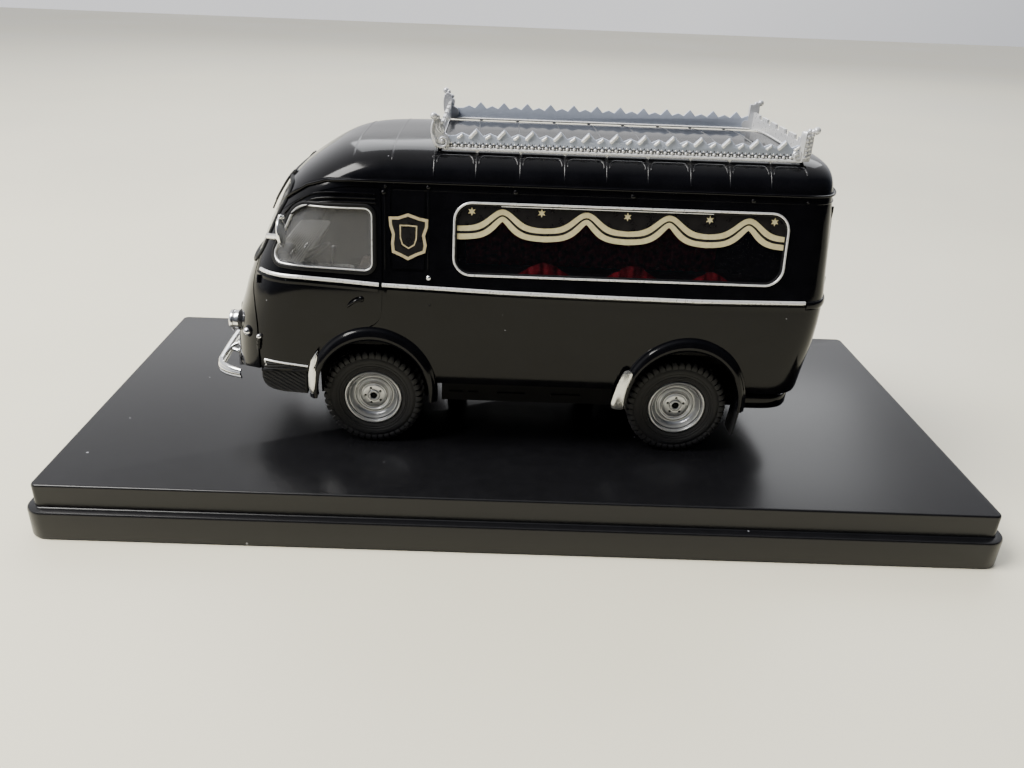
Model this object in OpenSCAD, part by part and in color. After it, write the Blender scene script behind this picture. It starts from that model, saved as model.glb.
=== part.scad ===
// 1:43 scale model of a 1950s forward-control van hearse on a stepped display plinth
// front of the vehicle towards -X, its left side towards -Y, Z up, origin under the middle of the plinth

/* [Plinth] */
// length of the upper slab
plinth_len = 160; // [140:1:180]
// depth of the upper slab
plinth_dep = 76; // [70:1:90]
// total height of the plinth
plinth_h = 9.5; // [8:0.5:12]
// height of the lower slab, which carries the dust-cover ledge
ledge_h = 5.2; // [4:0.1:7]
// width of the dust-cover ledge
ledge_w = 1.6; // [1:0.1:3]
// wall thickness of the hollow plinth
plinth_t = 2; // [1.5:0.1:3]

/* [Vehicle] */
// distance of the middle of the wheelbase from the middle of the plinth
veh_x = 0.9; // [0:0.1:2]
// distance between the two axles
wheelbase = 54; // [53:0.5:55]
// thickness of the cast body wall
shell_t = 0.9; // [0.7:0.1:1.1]
// height of the sill between the wheels above the plinth top
sill_z = 12.9; // [12.5:0.1:13.5]
// height of the gutter above the plinth top
gutter_z = 47.2; // [47:0.1:47.5]

/* [Wheels] */
// outer radius of the tyres
tyre_r = 8.8; // [8.4:0.1:9]
// width of one tyre
tyre_w = 4.2; // [3.8:0.1:4.5]
// radius of the wheel rims
rim_r = 5.1; // [4.8:0.1:5.4]
// distance from the centre plane to the outer tyre wall
track_y = 20; // [19.6:0.1:20.4]
// radius of the axle pins
axle_r = 0.8; // [0.7:0.05:0.9]
// radial play of the axle pins in their bearings
axle_play = 0.05; // [0.03:0.01:0.08]
// gap between tyres and plinth, the vehicle hangs on its two screws
tyre_gap = 0.15; // [0.1:0.05:0.2]

/* [Gallery] */
// half width of the roof gallery
gal_y = 15.8; // [15.4:0.1:16.2]
// front end of the side strips, from the middle of the wheelbase
gal_x0 = -14.8; // [-15.5:0.1:-14]
// rear end of the side strips
gal_x1 = 42.2; // [42:0.1:43]
// height of the underside of the gallery above the plinth top
gal_z = 51.9; // [51.8:0.1:52.2]
// number of tall teeth on each side strip
gal_teeth = 12; // [8:1:14]

/* [Hidden] */
eps = 0.01;
zp = plinth_h;
xf = veh_x - wheelbase/2;
xr = veh_x + wheelbase/2;
hub_z = zp + tyre_gap + tyre_r;
screw_x = [veh_x - 13, veh_x + 13];

// ---- shape stations of the body: x from the middle of the wheelbase, heights above the plinth top ----
function nose_x(z) = lookup(z, [[11.8, -53.5], [16.2, -52.9], [20.1, -52.4], [23, -51.7], [24.9, -51], [27.7, -50.1],
  [29.9, -49.2], [32.3, -48.3], [34.1, -47.4], [38.2, -45.6], [40.6, -44.5], [42.8, -43.2], [45.2, -41.5], [47, -39.5],
  [48, -38.1], [49.1, -36.4], [50.2, -34.5], [51, -32.9], [51.6, -31.2], [52, -29.3], [52.3, -25.5], [52.6, -18], [52.8, -9]]);
function tail_x(z) = lookup(z, [[11.8, 49.2], [17, 49.7], [20, 50.1], [23, 50.5], [27, 50.7], [30, 50.7], [34, 50.5],
  [38, 50.3], [42, 50], [47, 49.6], [48.5, 49.5], [49.6, 49.3], [50.6, 48.8], [51.3, 48], [51.8, 46.9], [52.3, 44.6], [52.6, 41.5], [52.8, 35]]);
function half_w(z) = lookup(z, [[11.8, 21.1], [14.4, 21.6], [18, 21.9], [24, 22.2], [29, 22.3], [30, 22.25], [31, 22.1], [47, 19.6],
  [48.2, 19.2], [49.1, 18.7], [50.2, 17.8], [51, 16.7], [51.6, 15.3], [52, 13.5], [52.3, 11], [52.6, 7], [52.8, 2.4]]);
levels = [11.8, 14.4, 17, 20, 23, 25, 27, 29, 30, 31, 34.1, 38.2, 42.8, 45.2, 47, 48.2, 49.1, 50.2, 51, 51.6, 52, 52.3, 52.6, 52.8];
// plan outline: nose quarter, straight side, tail quarter, mirrored
nq = 9;
nose_l = 13;
tail_l = 9;
nose_n = 3;
tail_n = 4.2;
function sq(u, n) = pow(max(u, 0), 2/n);
function half_ring(x0, x1, w) = concat(
  [for (i = [0:nq]) let (a = 90*i/nq) [x0 + nose_l*(1 - sq(cos(a), nose_n)), -w*sq(sin(a), nose_n)]],
  [for (i = [1:3]) [x0 + nose_l + (x1 - tail_l - x0 - nose_l)*i/4, -w]],
  [for (i = [0:nq]) let (a = 90*i/nq) [x1 - tail_l*(1 - sq(sin(a), tail_n)), -w*sq(cos(a), tail_n)]]);
function ring(x0, x1, w) = let (h = half_ring(x0, x1, w), n = len(h)) concat(h, [for (i = [n - 2:-1:1]) [h[i][0], -h[i][1]]]);
function body_ring(z, t) = ring(nose_x(z) + t, tail_x(z) - t, half_w(z) - t);
// x of the nose surface at a height and a distance from the centre plane, and y of the side there
function nose_at(z, y) = nose_x(z) + nose_l*(1 - pow(1 - pow(abs(y)/half_w(z), nose_n), 1/nose_n));
function side_at(z, x) = half_w(z)*(x > nose_x(z) + nose_l ? 1 : pow(1 - pow(1 - (x - nose_x(z))/nose_l, nose_n), 1/nose_n));
function tail_at(z, y) = tail_x(z) - tail_l*(1 - pow(1 - pow(abs(y)/half_w(z), tail_n), 1/tail_n));
function belt_z(x) = lookup(x, [[-46, 31.6], [-38, 31.6], [-31, 31.2], [-25, 30.8], [-5, 30.2], [11, 30], [28, 29.9], [46, 30.2]]);
// closed solid through a stack of equal rings
module loft(rings, zs) {
  n = len(rings[0]); m = len(rings);
  polyhedron(points = [for (j = [0:m - 1]) for (i = [0:n - 1]) [rings[j][i][0], rings[j][i][1], zs[j]]], faces = concat(
    [[for (i = [0:n - 1]) i]],
    [for (j = [0:m - 2]) for (i = [0:n - 1]) [j*n + i, (j + 1)*n + i, (j + 1)*n + (i + 1)%n]],
    [for (j = [0:m - 2]) for (i = [0:n - 1]) [j*n + i, (j + 1)*n + (i + 1)%n, j*n + (i + 1)%n]],
    [[for (i = [n - 1:-1:0]) (m - 1)*n + i]]), convexity = 8);
}
module in_vehicle() translate([veh_x, 0, zp]) children();
// skin of the body between the depths a and b, over the levels lo to hi
module skin(a, b, lo, hi) {
  zs = [for (z = levels) if (z >= lo && z <= hi) z];
  difference() {
    loft([for (z = zs) body_ring(z, a)], zs);
    loft([for (z = zs) body_ring(z, b)], [for (i = [0:len(zs) - 1]) zs[i] + (i == 0 ? -1 : i == len(zs) - 1 ? 1 : 0)]);
  }
}
// points of an arc, and a rounded rectangle
function arc_pts(cx, cy, r, a0, a1, n) = [for (i = [0:n]) let (a = a0 + (a1 - a0)*i/n) [cx + r*cos(a), cy + r*sin(a)]];
function rrect(w, h, r, cx = 0, cy = 0, n = 6) = concat(arc_pts(cx + w/2 - r, cy + h/2 - r, r, 0, 90, n), arc_pts(cx - w/2 + r, cy + h/2 - r, r, 90, 180, n),
  arc_pts(cx - w/2 + r, cy - h/2 + r, r, 180, 270, n), arc_pts(cx + w/2 - r, cy - h/2 + r, r, 270, 360, n));
// lean of the body side above the belt
lean = atan((22.1 - 19.6)/16);
// plate lying in the leaning side wall: outline in x and height, its outer face d inside the wall surface, t thick
module side_plate(pts, s, d, t) translate([0, s*22.1, 31]) rotate([s*lean, 0, 0]) translate([0, s < 0 ? d + t : -d, 0]) rotate([90, 0, 0])
  linear_extrude(t) polygon([for (p = pts) [p[0], (p[1] - 31)/cos(lean)]]);
// prism through both body sides
module across(pts, y = 60) translate([0, y/2, 0]) rotate([90, 0, 0]) linear_extrude(y) polygon(pts);
// side window outline, larger by g
function side_win(g) = rrect(53.5 + 2*g, 11.2 + 2*g, 2.7 + g, 13.95, 38.6);
// cab door window outline with a raked front edge, larger by g
function door_win(g) = concat(arc_pts(-27.5, 41.6, 1.2 + g, 0, 90, 5), arc_pts(-36.4, 39.2, 3.6 + g, 90, 157, 6),
  arc_pts(-41.2, 34.8, 1.2 + g, 157, 270, 5), arc_pts(-27.5, 34.3, 1.2 + g, 270, 360, 5));
// windscreen outline in y and height
function screen_win(g) = rrect(31 + 2*g, 13 + 2*g, 3 + g, 0, 38.4);
// rear door window outline, centred on the door
function rear_win(g) = rrect(13 + 2*g, 11 + 2*g, 1.8 + g, 0, 38.6);

module plinth() color("#101012") difference() {
  union() {
    linear_extrude(ledge_h) polygon(rrect(plinth_len + 2*ledge_w, plinth_dep + 2*ledge_w, 2));
    translate([0, 0, ledge_h - eps]) linear_extrude(plinth_h - ledge_h + eps) polygon(rrect(plinth_len, plinth_dep, 1));
  }
  translate([0, 0, -1]) linear_extrude(1 + plinth_h - plinth_t) difference() {
    polygon(rrect(plinth_len - 2*plinth_t, plinth_dep - 2*plinth_t, 1));
    for (x = screw_x) translate([x, 0]) circle(r = 4, $fn = 32);
  }
  for (x = screw_x) translate([x, 0, -1]) { cylinder(r = 1.2, h = 20, $fn = 32); cylinder(r = 2.6, h = 5, $fn = 32); }
}
module mounting_screws() color("#8a8a8e") for (x = screw_x) translate([x, 0, 0]) difference() {
  union() { translate([0, 0, 2.2]) cylinder(r = 2.2, h = 1.8, $fn = 32); translate([0, 0, 3.9]) cylinder(r = 1.1, h = zp + 9 - 3.9, $fn = 32); }
  translate([-3, -0.3, 1]) cube([6, 0.6, 1.9]);
}
// floor moulding with rails, cross members, axle bearings, wheel boxes and the two screw posts
module chassis_plate() color("#17171a") difference() {
  in_vehicle() union() {
    translate([0, 0, 15.4]) linear_extrude(0.9) polygon(ring(-50.5, 48, 20.6));
    for (s = [-1, 1]) translate([-46, s*9 - 1, 11.2]) cube([92.4, 2, 4.3]);
    for (x = [-44, -18, 4, 20, 37.6]) translate([x, -9, 12]) cube([1.4, 18, 3.5]);
    for (x = [-27, 27]) for (s = [-1, 1]) translate([x - 2.2, s*12 - 1.6, 6.4]) cube([4.4, 3.2, 9.2]);
    for (x = [-27, 27]) for (s = [-1, 1]) translate([x - 11, s < 0 ? -20.4 : 14.2, 16.2]) cube([22, 6.2, 4]);
    for (x = [-13, 13]) translate([x, 0, 0]) cylinder(r = 2, h = 15.5, $fn = 32);
  }
  for (x = [xf, xr]) for (s = [-1, 1]) translate([x - 10.3, s < 0 ? -21 : 14.9, zp + 8]) cube([20.6, 6.1, 11.4]);
  for (x = [xf, xr]) translate([x, 0, hub_z]) rotate([90, 0, 0]) cylinder(r = axle_r + axle_play, h = 40, center = true, $fn = 32);
  for (x = screw_x) translate([x, 0, zp - 1]) cylinder(r = 1.1, h = 10, $fn = 32);
}
// deep rails between the wheels with raised pads along their outer faces
module side_rails() color("#17171a") in_vehicle() for (s = [-1, 1]) {
  translate([-15, s*16 - 1, 7.6]) cube([30.6, 2, 7.8 - eps]);
  for (x = [[-13.6, 2.4], [-10.2, 1.8], [-5, 5], [4.7, 5.3]]) translate([x[0], s*17.1 - 0.3, 8.9]) cube([x[1], 0.6, 0.5]);
}
module engine_gearbox() color("#26262a") in_vehicle() difference() {
  union() {
    translate([-41, -5.5, 7.2]) cube([9.5, 11, 8.2 - eps]);
    translate([-31.6, 0, 12.8]) rotate([0, 90, 0]) cylinder(r1 = 2.5, r2 = 1.8, h = 11, $fn = 32);
  }
  translate([-43, -3.6, 6]) cube([14, 0.5, 2.4]);
  translate([-43, 3.1, 6]) cube([14, 0.5, 2.4]);
}
module propshaft() color("#3a3a3d") in_vehicle() {
  translate([-20.4, -3.8, 9.6]) rotate([0, 90, 0]) cylinder(r = 0.7, h = 43, $fn = 24);
  translate([22.4, -3.8, 9.6]) rotate([0, 90, 0]) cylinder(r = 1.6, h = 2.2, $fn = 24);
}
module exhaust() color("#3a3a3d") in_vehicle() {
  translate([-20, 5, 9.4]) rotate([0, 90, 0]) cylinder(r = 0.6, h = 14.2, $fn = 24);
  translate([-6, 5, 9.4]) rotate([0, 90, 0]) cylinder(r = 1.6, h = 14, $fn = 32);
  translate([7.8, 5, 9.4]) rotate([0, 90, 0]) cylinder(r = 0.6, h = 7.2, $fn = 24);
  translate([15, 7, 9.4]) rotate([0, 0, -90]) rotate_extrude(angle = 90, $fn = 48) translate([2, 0]) circle(r = 0.6, $fn = 24);
  translate([17, 7 - eps, 9.4]) rotate([-90, 0, 0]) cylinder(r = 0.6, h = 12, $fn = 24);
}
module body_shell() color("#050506") in_vehicle() difference() {
  loft([for (z = levels) body_ring(z, 0)], levels);
  loft([for (z = levels) body_ring(z, shell_t)], [for (z = levels) z == levels[0] ? z - 2 : z - shell_t*max(0, min(1, (z - 45)/4))]);
  translate([-46.4, -30, 0]) cube([10, 60, 14.4]);
  translate([-36.9, -30, 0]) cube([120, 60, sill_z]);
  for (s = [-1, 1]) translate([-60, 0, 0]) rotate([90, 0, 90]) linear_extrude(14) polygon([[s*12, 11.5], [s*14, 11.9], [s*17, 13.1], [s*21, 14.5], [s*30, 14.5], [s*30, 5], [s*12, 5]]);
  for (x = [-26.6, 27.3]) translate([x, 0, 10.9]) rotate([90, 0, 0]) scale([0.88, 1, 1]) cylinder(r = 12.65, h = 60, center = true, $fn = 64);
  across(side_win(0));
  across(door_win(0));
  translate([-60, 0, 0]) rotate([90, 0, 90]) linear_extrude(26) polygon(screen_win(0));
  for (s = [-1, 1]) translate([42, s*8.4, 0]) rotate([90, 0, 90]) linear_extrude(20) polygon(rear_win(0));
}
// flared wheel arch: tapering band that stands out from the body side
module arch(x, s) translate([x, s*21.35, 10.9]) rotate([s*-90, 0, 0]) difference() {
  union() {
    scale([0.88, 1, 1]) cylinder(r1 = 12.6, r2 = 11.7, h = 1, $fn = 64);
    translate([0, 0, 1 - eps]) scale([0.88, 1, 1]) cylinder(r1 = 11.7, r2 = 10.9, h = 0.7, $fn = 64);
  }
  translate([0, 0, -1]) scale([0.96, 1, 1]) cylinder(r = 10.2, h = 4, $fn = 64);
  translate([-20, s < 0 ? -20 : 1.1, -1]) cube([40, 18.9, 6]);
}
module front_wheel_arches() color("#050506") in_vehicle() for (s = [-1, 1]) arch(-27 + 0.4, s);
module rear_wheel_arches() color("#050506") in_vehicle() for (s = [-1, 1]) arch(27 + 0.3, s);
// gutter: straight along the sides, down the screen pillars, round the rear
module gutter() color("#0a0a0c") in_vehicle() intersection() {
  skin(-0.55, 0, 38, 49.2);
  across([[-41.6, 41.8], [-39.2, 43.9], [-36.6, 45.6], [-33.4, 46.7], [-29.5, 47], [60, 47], [60, 47.5], [-29.6, 47.5], [-33.6, 47.2], [-36.9, 46.1], [-39.5, 44.4], [-42, 42.2]]);
}
function inner_w(z, t) = half_w(z + (shell_t + 0.1)*max(0, min(1, (z - 43)/4))) - t;
function section(z0, z1, t, n = 18) = concat([for (i = [0:n]) let (z = z0 + (z1 - z0)*i/n) [inner_w(z, t), z]], [for (i = [n:-1:0]) let (z = z0 + (z1 - z0)*i/n) [-inner_w(z, t), z]]);
module bulkhead() color("#141416") in_vehicle() translate([-23.6, 0, 0]) rotate([90, 0, 90]) linear_extrude(0.8) difference() {
  polygon(section(22.3, 50.8, shell_t + 0.25));
  polygon(rrect(22, 8.5, 1.5, 0, 40));
}
module load_deck() color("#5a1414") in_vehicle() translate([0, 0, 21.3]) linear_extrude(0.9) polygon([for (p = ring(-34, 48.6, 21)) [max(p[0], -23.6), p[1]]]);
module deck_rails() color("#b8b8bc") in_vehicle() for (y = [-10.5, -3.5, 3.5, 10.5]) {
  translate([-18, y - 0.3, 22.2]) cube([62, 0.6, 0.5]);
  for (x = [-10, 8, 26]) translate([x, y - 0.8, 22.2]) cube([1.2, 1.6, 0.35]);
}
// cab floor box, two seats with squab and back
module cab_seats() color("#2a1d18") in_vehicle() for (s = [-1, 1]) {
  translate([-33.5, s*9.9 - 5.5, 21.4]) cube([7.6, 11, 3]);
  translate([-27.7, s*9.9 - 5.2, 23.4]) rotate([0, 8, 0]) cube([1.8, 10.4, 9.4]);
  translate([-32.8, s*9.7 - 4.2, 16.31]) cube([6, 8.4, 5.2]);
}
module dashboard() color("#141416") in_vehicle() {
  translate([-45.8, -17, 26.8]) cube([3.4, 34, 4]);
  translate([-45.8, -11.2, 30.7]) cube([2.4, 5.6, 1.6]);
}
module steering_wheel() color("#0c0c0e") in_vehicle() translate([-38.8, -10, 31.6]) rotate([0, -28, 0]) {
  rotate_extrude($fn = 48) translate([4, 0]) circle(r = 0.32, $fn = 16);
  translate([0, 0, -9.6]) cylinder(r = 0.45, h = 9.8, $fn = 24);
  translate([0, 0, -0.2]) cylinder(r = 0.9, h = 0.5, $fn = 24);
  for (a = [0, 120, 240]) rotate([0, 0, a]) translate([0.4, -0.25, -0.12]) cube([3.5, 0.5, 0.24]);
}
module windscreen() color("#8fa0a8") in_vehicle() intersection() {
  skin(0.2, 0.7, 29, 47.1);
  translate([-60, 0, 0]) rotate([90, 0, 90]) linear_extrude(26) polygon(screen_win(-0.04));
}
module door_glass() color("#8fa0a8") in_vehicle() intersection() { skin(0.2, 0.65, 31, 45.3); across(door_win(-0.04)); }
module side_glass() color("#8fa0a8") in_vehicle() for (s = [-1, 1]) side_plate(side_win(-0.15), s, 0.22, 0.45);
module rear_glass() color("#8fa0a8") in_vehicle() for (s = [-1, 1]) translate([49.15, s*8.4, 0]) rotate([90, 0, 90]) linear_extrude(0.45) polygon(rear_win(-0.04));
module door_window_frames() color("#c9c9cc") in_vehicle() intersection() {
  skin(-0.3, -0.005, 31, 45.3);
  across([[-46, 31], [-25.8, 31], [-25.8, 45], [-46, 45]]);
  difference() { across(door_win(0.32)); across(door_win(0), 80); }
}
module side_window_frames() color("#c9c9cc") in_vehicle() for (s = [-1, 1]) difference() {
  side_plate(side_win(0.45), s, -0.32, 0.32);
  side_plate(side_win(0), s, -1, 2);
}
// bright belt strips, one on the door and one on the body side, following the plan outline
module belt_strip(x0, x1, n, s) {
  xs = [for (i = [0:n]) x0 + (x1 - x0)*i/n];
  for (i = [0:n - 1]) let (a = xs[i], b = xs[i + 1], za = belt_z(a), zb = belt_z(b), ya = side_at(30, a), yb = side_at(30, b))
    polyhedron(points = [[a, s*(ya - 0.1), za - 0.3], [b, s*(yb - 0.1), zb - 0.3], [b, s*(yb + 0.38), zb - 0.3], [a, s*(ya + 0.38), za - 0.3],
      [a, s*(ya - 0.1), za + 0.3], [b, s*(yb - 0.1), zb + 0.3], [b, s*(yb + 0.38), zb + 0.3], [a, s*(ya + 0.38), za + 0.3]],
      faces = s > 0 ? [[0, 1, 2, 3], [7, 6, 5, 4], [0, 4, 5, 1], [1, 5, 6, 2], [2, 6, 7, 3], [3, 7, 4, 0]]
        : [[3, 2, 1, 0], [4, 5, 6, 7], [1, 5, 4, 0], [2, 6, 5, 1], [3, 7, 6, 2], [0, 4, 7, 3]]);
}
module belt_mouldings() color("#d2d2d6") in_vehicle() for (s = [-1, 1]) { belt_strip(-45, -25.2, 10, s); belt_strip(-24.6, 45, 6, s); }
module headlamps() color("#d8d8dc") in_vehicle() for (s = [-1, 1]) translate([nose_at(20.5, 14), s*14, 20.5]) rotate([0, 90, 0]) rotate_extrude($fn = 40)
  polygon([[0, -2.1], [0.8, -2], [1.4, -1.75], [1.62, -1.5], [1.87, -1.4], [1.87, -0.95], [1.7, -0.5], [1.6, 0.7], [0, 0.7]]);
module side_lamps() color("#e4e4e8") in_vehicle() for (s = [-1, 1]) translate([-48.02, s*19.38, 20.7]) rotate([0, -90, s*-45]) {
  cylinder(r = 0.85, h = 0.5, $fn = 24);
  translate([0, 0, 0.45]) cylinder(r1 = 0.65, r2 = 0.3, h = 0.5, $fn = 24);
}
module grille() color("#101012") in_vehicle() translate([-53.72, 0, 14.2]) rotate([0, 8.4, 0]) difference() {
  translate([0, -7, 0]) cube([0.55, 14, 7]);
  for (z = [0.8:1.1:6]) translate([-0.6, -6.4, z]) cube([0.9, 12.8, 0.6]);
}
// bowed blade bumper with wrapped ends and two brackets
function blade_x(y) = -56.75 + 0.5*pow(y/13, 2);
function blade(d) = concat([for (y = [-13:1.3:13]) [blade_x(y) + d, y]], [[-55.5 + d, 14.9], [-54.4 + d, 16.1], [-52.7 + d/2, 17.3], [-50.8, 18.1], [-50.6, 17.4], [-52.3, 16.6], [-53.9, 15.5], [-54.9, 14.4]],
  [for (y = [12.6:-1.4:-12.6]) [blade_x(y) + 0.75 + min(d, 0.3), y]], [[-54.9, -14.4], [-53.9, -15.5], [-52.3, -16.6], [-50.6, -17.4], [-50.8, -18.1], [-52.7 + d/2, -17.3], [-54.4 + d, -16.1], [-55.5 + d, -14.9]]);
module front_bumper() color("#d8d8dc") in_vehicle() {
  for (l = [[10.5, 0.7, 0.25], [11.2 - eps, 1.1, 0], [12.3 - 2*eps, 0.7, 0.5]]) translate([0, 0, l[0]]) linear_extrude(l[1] + eps) polygon(blade(l[2]));
  for (s = [-1, 1]) translate([-56, s*9 - 0.5, 11.9]) cube([3.7, 1, 0.8]);
}
module front_number_plate() color("#151517") in_vehicle() translate([-52.32, -5.5, 22.3]) rotate([0, 18, 0]) cube([0.35, 11, 2.4]);
module rear_number_plate() color("#151517") in_vehicle() translate([50.75, -5.5, 24]) cube([0.35, 11, 2.4]);
module mirrors() color("#d8d8dc") in_vehicle() for (s = [-1, 1]) {
  translate([-40.35, s*22.05, 39.05]) rotate([0, -4, 0]) rotate([0, -90, 0]) linear_extrude(0.6) scale([1.28, 1.12]) circle(r = 2, $fn = 36);
  translate([-44.05, s*16.1, 36.55]) rotate([0, 75.3, s*61.85]) cylinder(r = 0.55, h = 6.5, $fn = 20);
}
module wipers() color("#101012") in_vehicle() for (s = [-1, 1]) translate([nose_at(45.7, 8) - 0.22, s*8, 45.7]) {
  rotate([0, 50, 0]) cylinder(r = 0.4, h = 0.8, center = true, $fn = 20);
  rotate([s*5, 30, 0]) translate([-0.62, -0.15, -5.4]) cube([0.3, 0.3, 5.5]);
  rotate([s*5, 30, 0]) translate([-0.4, -0.1, -6.6]) cube([0.25, 0.25, 4.6]);
}
module door_handles() color("#0a0a0c") in_vehicle() for (s = [-1, 1]) translate([-28.4, s*22.45, 25.6]) rotate([0, -36, 0]) {
  translate([-0.2, -0.3, -0.3]) cube([3.3, 0.6, 0.6]);
  rotate([90, 0, 0]) cylinder(r = 0.45, h = 0.9, center = true, $fn = 20);
}
// ribbed steps below the cab doors with a rounded lower front edge
module cab_steps() color("#121214") in_vehicle() for (s = [-1, 1]) translate([0, s < 0 ? -17.6 : 21.6, 0]) rotate([90, 0, 0]) linear_extrude(4)
  polygon([[-38, 14.4], [-45.9, 14.4], [-45.95, 13], [-45.7, 12.1], [-45.1, 11.25], [-44, 10.7], [-42.2, 10.25], [-38.2, 10]]);
// bright guards on the leading edges of the wheel arches
module stone_guards() color("#c9c9cc") in_vehicle() for (s = [-1, 1]) {
  translate([0, s < 0 ? -22.7 : 23, 0]) rotate([90, 0, 0]) linear_extrude(0.3) polygon([[-35.7, 19], [-36.96, 17], [-37.3, 15.6], [-37.65, 13.6], [-37.6, 11.6], [-37.2, 10.7], [-36.75, 10.7], [-36.3, 13.2], [-36.2, 14.6], [-36.4, 16.6], [-35.8, 18.4]]);
  translate([0, s < 0 ? -22.7 : 23, 0]) rotate([90, 0, 0]) linear_extrude(0.3) polygon([[16.4, 16.6], [17.7, 16.9], [17.2, 14.6], [17.2, 12], [17.5, 9.6], [14.9, 10.1], [15, 12.4]]);
}
module mudflaps() color("#0b0b0c") in_vehicle() for (s = [-1, 1]) translate([37.4, s*18 - 2.3, 3.7]) rotate([0, 6, 0]) cube([0.45, 4.6, 11.6]);
// tail end of a plan outline, cut off square at xa
function tail_plan(xa, x1, w) = let (q = [for (i = [0:nq]) let (a = 90*i/nq) [x1 - tail_l*(1 - sq(sin(a), tail_n)), -w*sq(cos(a), tail_n)]])
  concat([[xa, w], [xa, -w]], q, [for (i = [nq - 1:-1:0]) [q[i][0], -q[i][1]]]);
module rear_valance() color("#0b0b0c") in_vehicle() translate([0, 0, 8.4]) linear_extrude(2.8 - eps) polygon(tail_plan(39.2, 49.3, 18.6));
module tail_lamps() color("#7a1010") in_vehicle() for (s = [-1, 1]) translate([tail_at(21, 13.2) - 0.15, s*13.2, 21]) rotate([0, 90, 0]) { cylinder(r = 1, h = 0.7, $fn = 24); translate([0, 0, 0.65]) cylinder(r1 = 0.8, r2 = 0.4, h = 0.4, $fn = 24); }
module rear_door_handle() color("#0a0a0c") in_vehicle() { translate([50.8, 0.7, 28]) rotate([0, 90, 0]) cylinder(r = 0.5, h = 0.7, $fn = 20); translate([51.3, 0.45, 25.4]) cube([0.4, 0.5, 3]); }
module crest_plates() color("#a8873c") in_vehicle() for (s = [-1, 1]) side_plate([[-23, 41.5], [-20.4, 42.1], [-17.2, 41.3], [-17.6, 39.4], [-17.7, 36.6], [-20.4, 35.1], [-22.7, 36.4], [-22.7, 39.6]], s, -0.15, 0.15);
module filler_caps() color("#c9c9cc") in_vehicle() for (s = [-1, 1]) side_plate(arc_pts(-17, 32.2, 0.45, 0, 345, 23), s, -0.5, 0.5);
// cornice strip along x: tall and short teeth over a flat band
function cornice(l, n) = let (p = (l - 3.3)/n) concat([[0, 0], [0, 2.1], [1.6, 2.1]], [for (i = [0:n - 1]) let (a = p*(i + 1) + 0.43) each [[a - 0.5*p, 2.55], [a - 0.25*p, 2.1], [a, 3.2], [a + 0.25*p, 2.1]]],
  [[p*n + 0.43 + 0.5*p, 2.55], [l, 2.12], [l, 0]]);
module gallery_side(s) in_vehicle() translate([gal_x0, s*gal_y + 0.3, gal_z]) rotate([90, 0, 0]) linear_extrude(0.6) polygon(cornice(gal_x1 - gal_x0, gal_teeth));
module gallery_left() color("#c9c9cc") gallery_side(-1);
module gallery_right() color("#c9c9cc") gallery_side(1);
// end panel across the roof: arched lower edge, notched upper edge
module gallery_end(x) in_vehicle() translate([x, 0, 0]) rotate([90, 0, 90]) linear_extrude(0.6) difference() {
  polygon(concat([for (y = [-gal_y + 0.35:1.5:gal_y]) [y, gal_z + 1.05*(1 - pow(y/gal_y, 2))]], [[gal_y - 0.35, gal_z], [gal_y - 0.35, gal_z + 3.3], [0.35 - gal_y, gal_z + 3.3]]));
  for (i = [-2:2]) translate([i*5.3 - 1, gal_z + 2.5]) square([2, 2]);
}
module gallery_front() color("#c9c9cc") gallery_end(gal_x0 - 1.2);
module gallery_rear() color("#c9c9cc") gallery_end(gal_x1 + 0.35);
// corner posts: leaf-shaped with a scroll at the foot in front, ridged pilasters behind, each with a ball leaning outwards
module gallery_posts() color("#c9c9cc") in_vehicle() for (s = [-1, 1]) {
  translate([gal_x0 - 0.3, s*gal_y, gal_z]) {
    translate([-0.15, 0, 1.25]) rotate([90, 0, 0]) cylinder(r = 1.2, h = 1.5, center = true, $fn = 32);
    translate([0, 0.4, 0]) rotate([90, 0, 0]) linear_extrude(0.8) polygon([[-1.25, 0.1], [-1.8, 1.4], [-2, 3], [-1.75, 4.3], [-1.3, 4.9], [-0.6, 4.7], [0.1, 4.3], [0.25, 3.3], [0.25, 0.1]]);
    translate([-1.5, s*0.5, 5]) sphere(r = 0.6, $fn = 24);
  }
  translate([gal_x1 + 0.45, s*gal_y, gal_z + 0.05]) {
    linear_extrude(4.6) polygon([[-0.9, s*-0.45], [-0.95, s*0.35], [-0.35, s*0.8], [1.05, s*0.35], [1, s*-0.45]]);
    translate([1.1, s*0.4, 4.85]) sphere(r = 0.65, $fn = 24);
    translate([-0.9, 0, 1]) rotate([90, 0, 0]) cylinder(r = 0.8, h = 1.3, center = true, $fn = 28);
  }
}

module axle(x) translate([x, 0, hub_z]) rotate([90, 0, 0]) cylinder(r = axle_r, h = 2*(track_y - 1.6), center = true, $fn = 32);
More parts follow.
